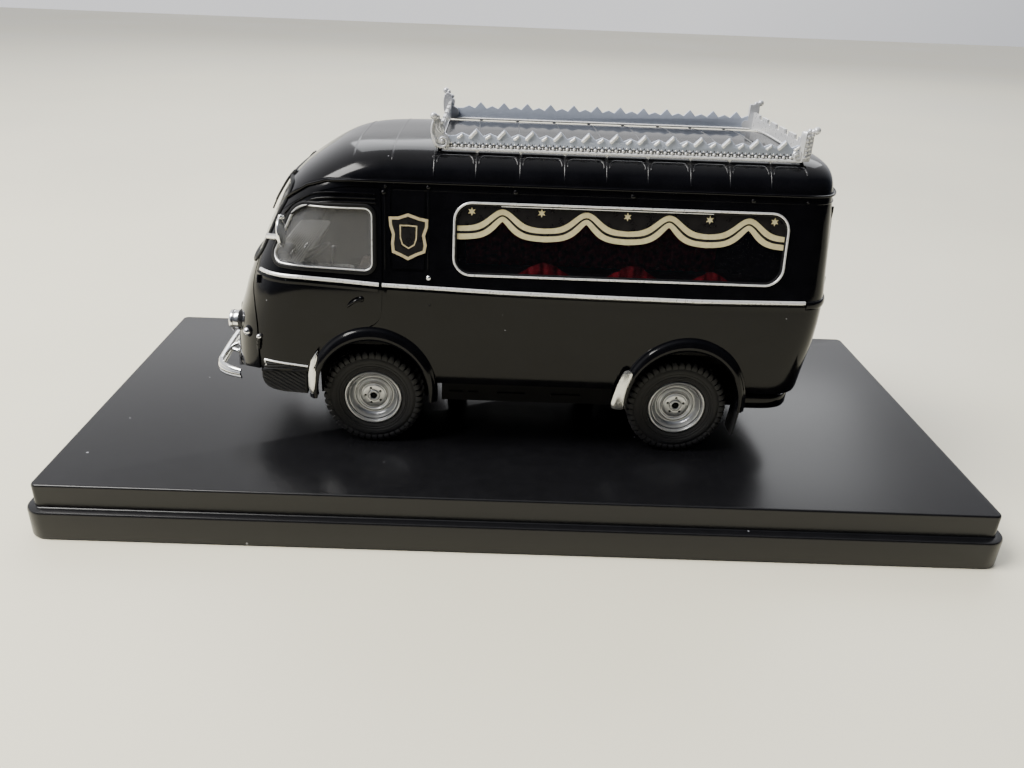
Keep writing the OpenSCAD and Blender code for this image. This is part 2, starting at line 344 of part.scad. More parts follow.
// stepped dish rim with hub boss
module rim(x, s) translate([x, s*track_y, hub_z]) rotate([s*-90, 0, 0]) rotate_extrude($fn = 48)
  polygon([[axle_r, -tyre_w + 0.6], [rim_r - 1.1, -tyre_w + 0.6], [rim_r - 0.2, -tyre_w + 0.2], [rim_r, -tyre_w + 0.2], [rim_r, -0.15], [rim_r - 0.15, 0], [rim_r - 0.45, 0], [rim_r - 0.7, -0.35],
    [rim_r - 1, -1.3], [rim_r - 1.4, -1.6], [3.3, -1.5], [3, -1.05], [2.5, -0.95], [2.3, -1.15], [1.7, -1.1], [1.5, -0.75], [0.8, -0.7], [axle_r, -1.7]]);
module tyre(x, s) translate([x, s*track_y, hub_z]) rotate([s*-90, 0, 0]) rotate_extrude($fn = 64)
  polygon([[rim_r + 0.01, -tyre_w + 0.3], [5.8, -tyre_w], [7.2, -tyre_w - 0.05], [8.2, -tyre_w + 0.3], [tyre_r, -tyre_w + 1], [tyre_r, -1], [8.2, -0.3], [7.2, 0.05], [5.8, 0], [rim_r + 0.01, -0.3]]);
module front_axle() color("#9a9a9e") axle(xf);
module rear_axle() color("#9a9a9e") axle(xr);
module front_rims() color("#c9c9cc") for (s = [-1, 1]) rim(xf, s);
module rear_rims() color("#c9c9cc") for (s = [-1, 1]) rim(xr, s);
module front_tyres() color("#141414") for (s = [-1, 1]) tyre(xf, s);
module rear_tyres() color("#141414") for (s = [-1, 1]) tyre(xr, s);

plinth();
mounting_screws();
chassis_plate();
side_rails();
engine_gearbox();
propshaft();
exhaust();
body_shell();
front_wheel_arches();
rear_wheel_arches();
gutter();
bulkhead();
load_deck();
deck_rails();
cab_seats();
dashboard();
steering_wheel();
windscreen();
door_glass();
side_glass();
rear_glass();
door_window_frames();
side_window_frames();
belt_mouldings();
headlamps();
side_lamps();
grille();
front_bumper();
front_number_plate();
rear_number_plate();
mirrors();
wipers();
door_handles();
cab_steps();
stone_guards();
mudflaps();
rear_valance();
tail_lamps();
rear_door_handle();
crest_plates();
filler_caps();
gallery_left();
gallery_right();
gallery_front();
gallery_rear();
gallery_posts();
front_axle();
front_rims();
front_tyres();
rear_axle();
rear_rims();
rear_tyres();
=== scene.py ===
import bpy, bmesh, math
import numpy as np
from mathutils import Vector, Matrix


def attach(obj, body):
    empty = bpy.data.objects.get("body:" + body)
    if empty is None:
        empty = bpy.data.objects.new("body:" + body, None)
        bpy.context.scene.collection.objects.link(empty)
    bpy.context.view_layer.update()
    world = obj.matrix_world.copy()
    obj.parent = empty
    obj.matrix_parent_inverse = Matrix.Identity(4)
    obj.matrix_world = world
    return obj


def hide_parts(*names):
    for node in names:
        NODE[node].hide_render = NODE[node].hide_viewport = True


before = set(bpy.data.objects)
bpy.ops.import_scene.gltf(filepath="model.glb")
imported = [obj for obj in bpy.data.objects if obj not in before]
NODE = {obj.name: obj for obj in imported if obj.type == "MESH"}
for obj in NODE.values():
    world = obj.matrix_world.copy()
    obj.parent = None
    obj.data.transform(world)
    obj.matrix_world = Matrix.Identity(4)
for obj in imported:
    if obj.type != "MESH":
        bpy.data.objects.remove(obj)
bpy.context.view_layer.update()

rng = np.random.default_rng(7)
VX, ZP = 0.9, 9.5            # where the middle of the wheelbase and the plinth top are, in mm
XF, XR, HZ = -27.0, 27.0, 8.95   # wheel centres in the vehicle's own frame

# ------------------------------------------------------------------ camera
F = 846.28
C0 = np.array([-4.94, -154.37, 86.47])
yaw, pit, rol = [math.radians(v) for v in (0.396, -26.065, 2.259)]
fw = np.array([math.sin(yaw)*math.cos(pit), math.cos(yaw)*math.cos(pit), math.sin(pit)])
r0 = np.array([math.cos(yaw), -math.sin(yaw), 0.0])
u0 = np.cross(r0, fw)
rt = r0*math.cos(rol) + u0*math.sin(rol)
up = -r0*math.sin(rol) + u0*math.cos(rol)
PSI = math.radians(-0.30)
Rz = np.array([[math.cos(PSI), -math.sin(PSI), 0], [math.sin(PSI), math.cos(PSI), 0], [0, 0, 1]])
piv = np.array([VX, 0, ZP])
C0 = Rz @ (C0 - piv) + piv
rt, up, fw = Rz @ rt, Rz @ up, Rz @ fw
cam_data = bpy.data.cameras.new("camera")
cam = bpy.data.objects.new("camera", cam_data)
bpy.context.scene.collection.objects.link(cam)
cam.matrix_world = Matrix(((rt[0], up[0], -fw[0], C0[0]/1000), (rt[1], up[1], -fw[1], C0[1]/1000), (rt[2], up[2], -fw[2], C0[2]/1000), (0, 0, 0, 1)))
cam_data.sensor_fit = 'HORIZONTAL'
cam_data.sensor_width = 36
cam_data.lens = 36*F/1024
cam_data.shift_x = (512 - 497.25)/1024
cam_data.shift_y = (390.13 - 384)/1024
cam_data.clip_start = 0.005
cam_data.clip_end = 20
bpy.context.scene.camera = cam

# ------------------------------------------------------------------ materials
def new_mat(name):
    m = bpy.data.materials.new(name)
    m.use_nodes = True
    nt = m.node_tree
    b = nt.nodes["Principled BSDF"]
    return m, nt, b

def node(nt, kind, **kw):
    n = nt.nodes.new(kind)
    for k, v in kw.items():
        if k in n.inputs.keys():
            n.inputs[k].default_value = v
        else:
            setattr(n, k, v)
    return n

def surface(name, col, rough, metal=0.0, coat=0.0, coat_rough=0.05, ior=1.5, var=0.25, rvar=0.25, scale=900.0, bump=0.02, bscale=4000.0,
            bdist=0.00002, specks=0.0, speck_scale=900.0, speck_col=(0.55, 0.56, 0.6), col2=None, spec=0.5, streak=None):
    """Procedural finish: colour and roughness vary with noise, fine bump, and optional dust specks."""
    m, nt, b = new_mat(name)
    tc = node(nt, "ShaderNodeTexCoord")
    src = tc.outputs["Object"]
    if streak:
        mp = node(nt, "ShaderNodeMapping")
        mp.inputs["Scale"].default_value = streak
        nt.links.new(src, mp.inputs["Vector"])
        src = mp.outputs["Vector"]
    n1 = node(nt, "ShaderNodeTexNoise", Scale=scale, Detail=4.0, Roughness=0.6)
    nt.links.new(src, n1.inputs["Vector"])
    ramp = node(nt, "ShaderNodeValToRGB")
    c2 = col2 or tuple(min(1, c*(1 + var)) for c in col)
    c1 = tuple(c*(1 - var) for c in col)
    ramp.color_ramp.elements[0].position = 0.3
    ramp.color_ramp.elements[1].position = 0.7
    ramp.color_ramp.elements[0].color = (*c1, 1)
    ramp.color_ramp.elements[1].color = (*c2, 1)
    nt.links.new(n1.outputs["Fac"], ramp.inputs["Fac"])
    colour = ramp.outputs["Color"]
    mr = node(nt, "ShaderNodeMapRange")
    mr.inputs["From Min"].default_value = 0.25
    mr.inputs["From Max"].default_value = 0.75
    mr.inputs["To Min"].default_value = rough*(1 - rvar)
    mr.inputs["To Max"].default_value = min(1, rough*(1 + rvar))
    nt.links.new(n1.outputs["Fac"], mr.inputs["Value"])
    rsock = mr.outputs["Result"]
    if specks > 0:
        vo = node(nt, "ShaderNodeTexVoronoi", Scale=speck_scale)
        nt.links.new(tc.outputs["Object"], vo.inputs["Vector"])
        sm = node(nt, "ShaderNodeMath", operation='LESS_THAN')
        sm.inputs[1].default_value = 0.055
        nt.links.new(vo.outputs["Distance"], sm.inputs[0])
        n3 = node(nt, "ShaderNodeTexNoise", Scale=speck_scale*0.23, Detail=1.0)
        nt.links.new(tc.outputs["Object"], n3.inputs["Vector"])
        gt = node(nt, "ShaderNodeMath", operation='GREATER_THAN')
        gt.inputs[1].default_value = 0.66
        nt.links.new(n3.outputs["Fac"], gt.inputs[0])
        mu = node(nt, "ShaderNodeMath", operation='MULTIPLY')
        nt.links.new(sm.outputs[0], mu.inputs[0]); nt.links.new(gt.outputs[0], mu.inputs[1])
        m2 = node(nt, "ShaderNodeMath", operation='MULTIPLY')
        m2.inputs[1].default_value = specks
        nt.links.new(mu.outputs[0], m2.inputs[0])
        mix = node(nt, "ShaderNodeMix", data_type='RGBA')
        nt.links.new(m2.outputs[0], mix.inputs[0])
        nt.links.new(colour, mix.inputs[6])
        mix.inputs[7].default_value = (*speck_col, 1)
        colour = mix.outputs[2]
    nt.links.new(colour, b.inputs["Base Color"])
    nt.links.new(rsock, b.inputs["Roughness"])
    b.inputs["Metallic"].default_value = metal
    b.inputs["IOR"].default_value = ior
    b.inputs["Specular IOR Level"].default_value = spec
    b.inputs["Coat Weight"].default_value = coat
    b.inputs["Coat Roughness"].default_value = coat_rough
    n2 = node(nt, "ShaderNodeTexNoise", Scale=bscale, Detail=3.0, Roughness=0.6)
    nt.links.new(src, n2.inputs["Vector"])
    bp = node(nt, "ShaderNodeBump", Strength=bump, Distance=bdist)
    nt.links.new(n2.outputs["Fac"], bp.inputs["Height"])
    nt.links.new(bp.outputs["Normal"], b.inputs["Normal"])
    return m

M = {}
M["paint"] = surface("gloss_black_paint", (0.003, 0.003, 0.004), 0.11, coat=0.0, var=0.3, rvar=0.3, scale=300, bump=0.03, bscale=650, bdist=0.00003, specks=0.4, speck_scale=520, ior=1.29)
M["roofpaint"] = surface("satin_black_paint_roof", (0.004, 0.004, 0.0055), 0.18, var=0.3, rvar=0.25, scale=300, bump=0.05, bscale=700, bdist=0.00003, specks=0.5, speck_scale=520, ior=1.42)
M["moulded"] = surface("moulded_black_plastic", (0.012, 0.012, 0.013), 0.34, var=0.3, scale=1200, bump=0.2, bscale=5200, bdist=0.00002, specks=0.35, speck_scale=800)
M["plinth"] = surface("black_display_plastic", (0.006, 0.006, 0.007), 0.26, var=0.15, rvar=0.03, scale=400, bump=0.02, bscale=2600, bdist=0.00001, specks=0.5, speck_scale=260, ior=1.42)
M["chassis"] = surface("chassis_black", (0.007, 0.007, 0.0075), 0.7, var=0.35, scale=900, bump=0.3, bscale=4200, bdist=0.00003, spec=0.12)
M["silver"] = surface("vacuum_plated_silver", (0.66, 0.67, 0.70), 0.36, metal=0.45, var=0.04, rvar=0.2, scale=1500, bump=0.04, bscale=3600, bdist=0.00002)
M["chrome"] = surface("bright_chrome", (0.86, 0.86, 0.87), 0.15, metal=0.95, var=0.03, rvar=0.3, scale=1500, bump=0.03, bscale=3000, bdist=0.00001)
M["foil"] = surface("bright_foil_strip", (0.90, 0.90, 0.90), 0.3, metal=0.5, var=0.04, rvar=0.2, scale=2200, bump=0.03, bscale=5200, bdist=0.00001)
M["wheel"] = surface("wheel_silver_paint", (0.58, 0.59, 0.61), 0.3, metal=0.85, var=0.02, rvar=0.05, scale=1400, bump=0.008, bscale=3500, bdist=0.00001)
M["steel"] = surface("turned_steel", (0.5, 0.5, 0.52), 0.35, metal=1.0, var=0.1, rvar=0.3, scale=2500, bump=0.06, bscale=6000, bdist=0.00002)
M["rubber"] = surface("tyre_rubber", (0.016, 0.016, 0.0175), 0.6, var=0.3, rvar=0.15, scale=1500, bump=0.25, bscale=5200, bdist=0.00004, specks=0.25, speck_scale=900, spec=0.4)
M["gasket"] = surface("black_gasket", (0.005, 0.005, 0.006), 0.5, var=0.3, scale=1500, bump=0.15, bscale=5000, bdist=0.00002, spec=0.2)
M["gold"] = surface("pale_gold_print", (0.70, 0.61, 0.33), 0.4, metal=0.1, var=0.07, rvar=0.2, scale=1400, bump=0.05, bscale=5200, bdist=0.00001, col2=(0.78, 0.70, 0.42))
M["golddark"] = surface("old_gold_print", (0.62, 0.52, 0.3), 0.4, metal=0.25, var=0.1, rvar=0.2, scale=1400, bump=0.05, bscale=5200, bdist=0.00001, col2=(0.72, 0.62, 0.38))
M["mask"] = surface("black_screen_print", (0.009, 0.008, 0.0085), 0.3, var=0.25, scale=700, bump=0.03, bscale=3000, bdist=0.00001)
M["velvet"] = surface("dark_red_cloth", (0.42, 0.02, 0.035), 0.8, var=0.6, scale=900, bump=0.6, bscale=3600, bdist=0.0001, spec=0.2)
M["deck"] = surface("deck_boards", (0.025, 0.0015, 0.002), 0.5, var=0.3, scale=300, bump=0.2, bscale=1500, bdist=0.00004, col2=(0.05, 0.003, 0.005))
M["leather"] = surface("seat_leather", (0.10, 0.07, 0.06), 0.45, var=0.2, scale=900, bump=0.3, bscale=3200, bdist=0.00004)
M["cabgrey"] = surface("cab_lining", (0.42, 0.42, 0.40), 0.5, var=0.12, scale=800, bump=0.15, bscale=3000, bdist=0.00003)
M["gauge"] = surface("gauge_face", (0.5, 0.49, 0.42), 0.4, var=0.1, scale=2000, bump=0.1)
M["lampred"] = surface("red_lamp_lens", (0.3, 0.006, 0.006), 0.12, var=0.2, scale=2500, bump=0.3, bscale=3500, bdist=0.00005, coat=0.6)
M["plate"] = surface("blank_plate", (0.02, 0.02, 0.022), 0.3, var=0.2, scale=1200, bump=0.1)
# near-black and almost matt: painted shade behind the wheel holes and hubs; on the inner wheel housings partly their
# own black
M["hole"] = surface("dark_recess", (0.002, 0.002, 0.0022), 0.8, var=0.3, scale=2000, bump=0.2, spec=0.1)
# dark grey laid in the wheels' pressed steps and on the gallery strips' shadow band: painted shade
M["wash"] = surface("dark_grey_painted_shade", (0.10, 0.10, 0.11), 0.5, metal=0.3, var=0.3, scale=2600, bump=0.1, bscale=4000, bdist=0.00003)
# darker copy of the plated silver for the gallery side strips: painted shade
M["gallery_in"] = surface("plated_silver_painted_shade", (0.47, 0.52, 0.63), 0.38, metal=0.15, var=0.04, rvar=0.2, scale=1500, bump=0.04, bscale=3600, bdist=0.00002)
# near-white copy of the silver for the gallery's raised bevels, bars and pendants: painted highlight
M["bars"] = surface("raised_bars_painted_highlight", (0.95, 0.95, 0.95), 0.28, metal=0.15, var=0.03, rvar=0.2, scale=2200, bump=0.03, bscale=5200, bdist=0.00001)
M["guard"] = surface("bright_guard", (0.78, 0.78, 0.77), 0.24, metal=0.9, var=0.05, rvar=0.25, scale=1800, bump=0.04, bscale=3500, bdist=0.00002)
M["mirror"] = surface("mirror_face", (0.75, 0.77, 0.8), 0.05, metal=1.0, var=0.03, rvar=0.5, scale=900, bump=0.02, bscale=2000, bdist=0.00001)

def glass(name, tint=(0.25, 0.26, 0.27), rough=0.05, alpha=0.2, spec=0.9):
    """thin clear glazing: mostly see-through, with a faint diffuse base colour over it; on the cab glass that grey
    colour is painted sheen
    """
    m, nt, b = new_mat(name)
    tc = node(nt, "ShaderNodeTexCoord")
    n1 = node(nt, "ShaderNodeTexNoise", Scale=260.0, Detail=4.0)
    nt.links.new(tc.outputs["Object"], n1.inputs["Vector"])
    mr = node(nt, "ShaderNodeMapRange")
    mr.inputs["From Min"].default_value = 0.45
    mr.inputs["From Max"].default_value = 0.75
    mr.inputs["To Min"].default_value = rough
    mr.inputs["To Max"].default_value = rough + 0.07
    nt.links.new(n1.outputs["Fac"], mr.inputs["Value"])
    nt.links.new(mr.outputs["Result"], b.inputs["Roughness"])
    rp = node(nt, "ShaderNodeValToRGB")
    rp.color_ramp.elements[0].color = (*tint, 1)
    rp.color_ramp.elements[1].color = (*[c*0.85 for c in tint], 1)
    nt.links.new(n1.outputs["Fac"], rp.inputs["Fac"])
    nt.links.new(rp.outputs["Color"], b.inputs["Base Color"])
    b.inputs["Alpha"].default_value = alpha
    b.inputs["Specular IOR Level"].default_value = spec
    b.inputs["IOR"].default_value = 1.5
    bp = node(nt, "ShaderNodeBump", Strength=0.03, Distance=0.00002)
    n2 = node(nt, "ShaderNodeTexNoise", Scale=420.0, Detail=2.0)
    nt.links.new(tc.outputs["Object"], n2.inputs["Vector"])
    nt.links.new(n2.outputs["Fac"], bp.inputs["Height"])
    nt.links.new(bp.outputs["Normal"], b.inputs["Normal"])
    return m
M["glass"] = glass("window_glazing", (0.008, 0.008, 0.01), 0.04, 0.3, 0.6)
# grey base colour of the cab glass: painted sheen, a diffuse grey haze standing in for the glass's reflection
M["cabglass"] = glass("cab_glazing", (0.2, 0.2, 0.2), 0.05, 0.4)
M["lens"] = glass("lamp_lens_clear", (0.8, 0.8, 0.8), 0.08, 0.35)

# ------------------------------------------------------------------ mesh helpers (vehicle frame in mm, x from mid wheelbase, z above plinth top)
def to_frame(v):
    v = np.asarray(v, float).reshape(-1, 3)
    return (v + np.array([VX, 0, ZP]))/1000.0

def mesh(name, verts, faces, mat, body="model", smooth=35, raw=False, slot=None, ride=True, bevel=None, recalc=True):
    me = bpy.data.meshes.new(name)
    co = np.asarray(verts, float).reshape(-1, 3)
    co = co/1000.0 if raw else to_frame(co)
    me.from_pydata(co.tolist(), [], [tuple(int(i) for i in f) for f in faces])
    if recalc:
        bm = bmesh.new(); bm.from_mesh(me)
        bmesh.ops.remove_doubles(bm, verts=bm.verts, dist=1e-7)
        bmesh.ops.recalc_face_normals(bm, faces=bm.faces)
        bm.to_mesh(me); bm.free()
    ob = bpy.data.objects.new(name, me)
    bpy.context.scene.collection.objects.link(ob)
    if isinstance(mat, str):
        mat = M[mat]
    me.materials.append(mat)
    if bevel:
        md = ob.modifiers.new("bevel", 'BEVEL')
        md.width = bevel/1000.0; md.segments = 2; md.limit_method = 'ANGLE'; md.angle_limit = math.radians(38)
        apply_mods(ob)
    shade(ob, smooth)
    if ride:
        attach(ob, body)
    return ob

def shade(ob, ang):
    me = ob.data
    if ang is None:
        me.shade_flat()
    else:
        me.shade_smooth()
        me.set_sharp_from_angle(angle=math.radians(ang))

def apply_mods(ob):
    dg = bpy.context.evaluated_depsgraph_get()
    dg.update()
    ev = ob.evaluated_get(dg)
    me = bpy.data.meshes.new_from_object(ev)
    old = ob.data
    ob.modifiers.clear()
    ob.data = me
    bpy.data.meshes.remove(old)

def boolean(ob, cutters, op='DIFFERENCE', solver='MANIFOLD'):
    for c in cutters:
        md = ob.modifiers.new("cut", 'BOOLEAN')
        md.operation = op; md.object = c; md.solver = solver
    apply_mods(ob)
    for c in cutters:
        me = c.data
        bpy.data.objects.remove(c)
        bpy.data.meshes.remove(me)
    return ob

def temp(verts, faces):
    me = bpy.data.meshes.new("cutter")
    me.from_pydata(to_frame(verts).tolist(), [], [tuple(int(i) for i in f) for f in faces])
    bm = bmesh.new(); bm.from_mesh(me)
    bmesh.ops.recalc_face_normals(bm, faces=bm.faces)
    bm.to_mesh(me); bm.free()
    ob = bpy.data.objects.new("cutter", me)
    bpy.context.scene.collection.objects.link(ob)
    return ob

def prism(poly, a, b, axis="y"):
    """closed prism of a 2D outline between a and b along an axis. axis y: outline is (x, z); axis x: (y, z); axis z: (x, y)"""
    n = len(poly)
    def pt(p, t):
        return {"y": (p[0], t, p[1]), "x": (t, p[0], p[1]), "z": (p[0], p[1], t)}[axis]
    v = [pt(p, a) for p in poly] + [pt(p, b) for p in poly]
    f = [tuple(range(n))[::-1], tuple(range(n, 2*n))] + [(i, (i + 1) % n, n + (i + 1) % n, n + i) for i in range(n)]
    return v, f

def join(*parts):
    V, Fc = [], []
    for v, f in parts:
        o = len(V)
        V += [tuple(p) for p in v]
        Fc += [tuple(i + o for i in q) for q in f]
    return V, Fc

def sweep(P, A, B, prof, closed=False, cap=True, scale=None):
    """profile (a, b) carried along P with the local axes A and B"""
    P, A, B, prof = [np.asarray(q, float) for q in (P, A, B, prof)]
    n, m = len(P), len(prof)
    sc = np.ones(n) if scale is None else np.asarray(scale, float)
    V = (P[:, None, :] + A[:, None, :]*prof[None, :, 0:1]*sc[:, None, None] + B[:, None, :]*prof[None, :, 1:2]*sc[:, None, None]).reshape(-1, 3)
    Fc = []
    for i in range(n if closed else n - 1):
        j = (i + 1) % n
        for k in range(m):
            l = (k + 1) % m
            Fc.append((i*m + k, i*m + l, j*m + l, j*m + k))
    if cap and not closed:
        Fc.append(tuple(range(m))[::-1])
        Fc.append(tuple((n - 1)*m + k for k in range(m)))
    return V.tolist(), Fc

def frames(P, ref):
    """axes across a path: A along ref made square to the path, B = T x A"""
    P = np.asarray(P, float)
    T = np.gradient(P, axis=0)
    T /= np.linalg.norm(T, axis=1)[:, None]
    A = np.asarray(ref, float)
    if A.ndim == 1:
        A = np.repeat(A[None], len(P), 0)
    A = A - (A*T).sum(1)[:, None]*T
    A /= np.linalg.norm(A, axis=1)[:, None]
    return A, np.cross(T, A)

def tube(P, r, ref=(0, 0, 1), n=10, scale=None, flat=1.0):
    A, B = frames(P, ref)
    a = np.linspace(0, 2*math.pi, n, endpoint=False)
    return sweep(P, A, B, np.stack([r*flat*np.cos(a), r*np.sin(a)], 1), scale=scale)

def revolve(prof, c, axis="y", n=64, s=1, closed=True):
    """turned solid: prof holds (radius, distance along the axis)"""
    prof = np.asarray(prof, float); m = len(prof)
    V = []
    for i in range(n):
        a = 2*math.pi*i/n
        for r, t in prof:
            if axis == "y":
                V.append((c[0] + r*math.cos(a), c[1] + s*t, c[2] + r*math.sin(a)))
            elif axis == "x":
                V.append((c[0] + s*t, c[1] + r*math.cos(a), c[2] + r*math.sin(a)))
            else:
                V.append((c[0] + r*math.cos(a), c[1] + r*math.sin(a), c[2] + s*t))
    Fc = []
    for i in range(n):
        j = (i + 1) % n
        for k in range(m if closed else m - 1):
            l = (k + 1) % m
            Fc.append((i*m + k, i*m + l, j*m + l, j*m + k))
    return V, Fc

def ball(c, r, nu=14, nv=10, sc=(1, 1, 1)):
    V, Fc = [(c[0], c[1], c[2] + r*sc[2])], []
    for j in range(1, nv):
        t = math.pi*j/nv
        for i in range(nu):
            a = 2*math.pi*i/nu
            V.append((c[0] + r*sc[0]*math.sin(t)*math.cos(a), c[1] + r*sc[1]*math.sin(t)*math.sin(a), c[2] + r*sc[2]*math.cos(t)))
    V.append((c[0], c[1], c[2] - r*sc[2]))
    for i in range(nu):
        Fc.append((0, 1 + i, 1 + (i + 1) % nu))
        for j in range(nv - 2):
            a = 1 + j*nu
            Fc.append((a + i, a + nu + i, a + nu + (i + 1) % nu, a + (i + 1) % nu))
        e = 1 + (nv - 2)*nu
        Fc.append((e + i, len(V) - 1, e + (i + 1) % nu))
    return V, Fc

def place(part, R, t):
    v, f = part
    v = np.asarray(v, float) @ np.asarray(R, float).T + np.asarray(t, float)
    return v.tolist(), f

def rotz(a):
    a = math.radians(a); return np.array([[math.cos(a), -math.sin(a), 0], [math.sin(a), math.cos(a), 0], [0, 0, 1]])
def rotx(a):
    a = math.radians(a); return np.array([[1, 0, 0], [0, math.cos(a), -math.sin(a)], [0, math.sin(a), math.cos(a)]])
def roty(a):
    a = math.radians(a); return np.array([[math.cos(a), 0, math.sin(a)], [0, 1, 0], [-math.sin(a), 0, math.cos(a)]])

def rrect(w, h, r, cx=0.0, cy=0.0, n=7):
    out = []
    for (x, y, a0) in ((cx + w/2 - r, cy + h/2 - r, 0), (cx - w/2 + r, cy + h/2 - r, 90), (cx - w/2 + r, cy - h/2 + r, 180), (cx + w/2 - r, cy - h/2 + r, 270)):
        for i in range(n + 1):
            a = math.radians(a0 + 90*i/n)
            out.append((x + r*math.cos(a), y + r*math.sin(a)))
    return out

def arc(cx, cy, r, a0, a1, n):
    return [(cx + r*math.cos(math.radians(a0 + (a1 - a0)*i/n)), cy + r*math.sin(math.radians(a0 + (a1 - a0)*i/n))) for i in range(n + 1)]

# ------------------------------------------------------------------ the body's surface
def pchip(xs, ys):
    xs, ys = np.asarray(xs, float), np.asarray(ys, float)
    h = np.diff(xs); d = np.diff(ys)/h
    m = np.zeros(len(xs))
    for i in range(1, len(xs) - 1):
        if d[i - 1]*d[i] > 0:
            w1, w2 = 2*h[i] + h[i - 1], h[i] + 2*h[i - 1]
            m[i] = (w1 + w2)/(w1/d[i - 1] + w2/d[i])
    m[0], m[-1] = d[0], d[-1]
    def f(x):
        x = np.clip(np.asarray(x, float), xs[0], xs[-1])
        i = np.clip(np.searchsorted(xs, x, side='right') - 1, 0, len(xs) - 2)
        t = (x - xs[i])/h[i]
        return ys[i]*(1 + 2*t)*(1 - t)**2 + h[i]*m[i]*t*(1 - t)**2 + ys[i + 1]*t*t*(3 - 2*t) + h[i]*m[i + 1]*t*t*(t - 1)
    return f

nose_x = pchip([11.8, 16.2, 20.1, 23, 24.9, 27.7, 29.9, 32.3, 34.1, 38.2, 40.6, 42.8, 45.2, 47, 48, 49.1, 50.2, 51, 51.6, 52, 52.3, 52.6, 52.8],
               [-53.5, -52.9, -52.4, -51.7, -51, -50.1, -49.2, -48.3, -47.4, -45.6, -44.5, -43.2, -41.5, -39.5, -38.1, -36.4, -34.5, -32.9, -31.2, -29.3, -25.5, -18, -9])
tail_x = pchip([11.8, 17, 20, 23, 27, 30, 34, 38, 42, 47, 48.5, 49.6, 50.6, 51.3, 51.8, 52.3, 52.6, 52.8],
               [49.2, 49.7, 50.1, 50.5, 50.7, 50.7, 50.5, 50.3, 50, 49.6, 49.5, 49.3, 48.8, 48, 46.9, 44.6, 41.5, 35])
half_w = pchip([11.8, 14.4, 18, 24, 29, 30, 31, 39, 47, 48.2, 49.1, 50.2, 51, 51.6, 52, 52.3, 52.6, 52.8],
               [21.1, 21.6, 21.9, 22.2, 22.3, 22.25, 22.1, 20.85, 19.6, 19.2, 18.7, 17.8, 16.7, 15.3, 13.5, 11, 7, 2.4])
NL, TL, NN, TN = 13.0, 9.0, 3.0, 4.2

def outline(z, n1=44, n2=52, n3=30, t=0.0):
    """half outline of the body at height z, from the middle of the nose along +y to the middle of the tail"""
    x0, x1, w = float(nose_x(z)) + t, float(tail_x(z)) - t, float(half_w(z)) - t
    a = np.linspace(0, math.pi/2, 400)
    ca, sa = np.cos(a), np.sin(a)
    ca[-1] = 0
    nq = np.stack([x0 + NL*(1 - np.maximum(ca, 0)**(2/NN)), w*sa**(2/NN)], 1)
    tq = np.stack([x1 - TL*(1 - sa**(2/TN)), w*np.maximum(ca, 0)**(2/TN)], 1)
    def even(q, n):
        s = np.concatenate([[0], np.cumsum(np.linalg.norm(np.diff(q, axis=0), axis=1))])
        u = np.linspace(0, s[-1], n + 1)
        return np.stack([np.interp(u, s, q[:, 0]), np.interp(u, s, q[:, 1])], 1)
    A, C = even(nq, n1), even(tq, n3)
    xa, xb = x0 + NL, x1 - TL
    Bx = np.linspace(xa, xb, n2 + 1)[1:-1]
    return np.concatenate([A, np.stack([Bx, np.full(len(Bx), w)], 1), C])

def side_y(x, z):
    w = float(half_w(z)); x0 = float(nose_x(z)); x1 = float(tail_x(z))
    if x < x0 + NL:
        u = min(1, max(0, 1 - (x - x0)/NL)); return w*max(0.0, 1 - u**NN)**(1/NN)
    if x > x1 - TL:
        u = min(1, max(0, 1 - (x1 - x)/TL)); return w*max(0.0, 1 - u**TN)**(1/TN)
    return w

def on_side(x, z, s=-1, off=0.0):
    """point and outward normal of the body side at (x, z)"""
    e = 0.05
    y = side_y(x, z)
    dx = (side_y(x + e, z) - side_y(x - e, z))/(2*e)
    dz = (side_y(x, z + e) - side_y(x, z - e))/(2*e)
    n = np.array([-dx, s, -dz]); n /= np.linalg.norm(n)
    return np.array([x, s*y, z]) + off*n, n

def nose_at(z, y):
    w = float(half_w(z)); return float(nose_x(z)) + NL*(1 - max(0.0, 1 - (abs(y)/w)**NN)**(1/NN))
def tail_at(z, y):
    w = float(half_w(z)); return float(tail_x(z)) - TL*(1 - max(0.0, 1 - (abs(y)/w)**TN)**(1/TN))

def side_sweep(pts, prof, s, off=0.0, n=None, zfun=None, cap=True):
    """profile (outwards, across) carried along points (x, z) of the body side"""
    pts = np.asarray(pts, float)
    if n:
        d = np.concatenate([[0], np.cumsum(np.linalg.norm(np.diff(pts, axis=0), axis=1))])
        u = np.linspace(0, d[-1], n)
        pts = np.stack([np.interp(u, d, pts[:, 0]), np.interp(u, d, pts[:, 1])], 1)
    P, Nn = zip(*[on_side(x, z, s, off) for x, z in pts])
    P, Nn = np.array(P), np.array(Nn)
    T = np.gradient(P, axis=0); T /= np.linalg.norm(T, axis=1)[:, None]
    Nn = Nn - (Nn*T).sum(1)[:, None]*T; Nn /= np.linalg.norm(Nn, axis=1)[:, None]
    B = np.cross(T, Nn)
    B *= np.sign(B[:, 2].sum() or 1)
    return sweep(P, Nn, B, prof, cap=cap)

def closed_side_sweep(pts, prof, s, off=0.0):
    """closed ring of profile on the body side; prof is (outwards, away from the ring's middle)"""
    pts = np.asarray(pts, float)
    P, Nn = zip(*[on_side(x, z, s, off) for x, z in pts])
    P, Nn = np.array(P), np.array(Nn)
    T = np.roll(P, -1, 0) - np.roll(P, 1, 0); T /= np.linalg.norm(T, axis=1)[:, None]
    Nn = Nn - (Nn*T).sum(1)[:, None]*T; Nn /= np.linalg.norm(Nn, axis=1)[:, None]
    B = np.cross(T, Nn)
    c = P.mean(0)
    if ((P - c)*B).sum() < 0:
        B = -B
    return sweep(P, Nn, B, prof, closed=True)

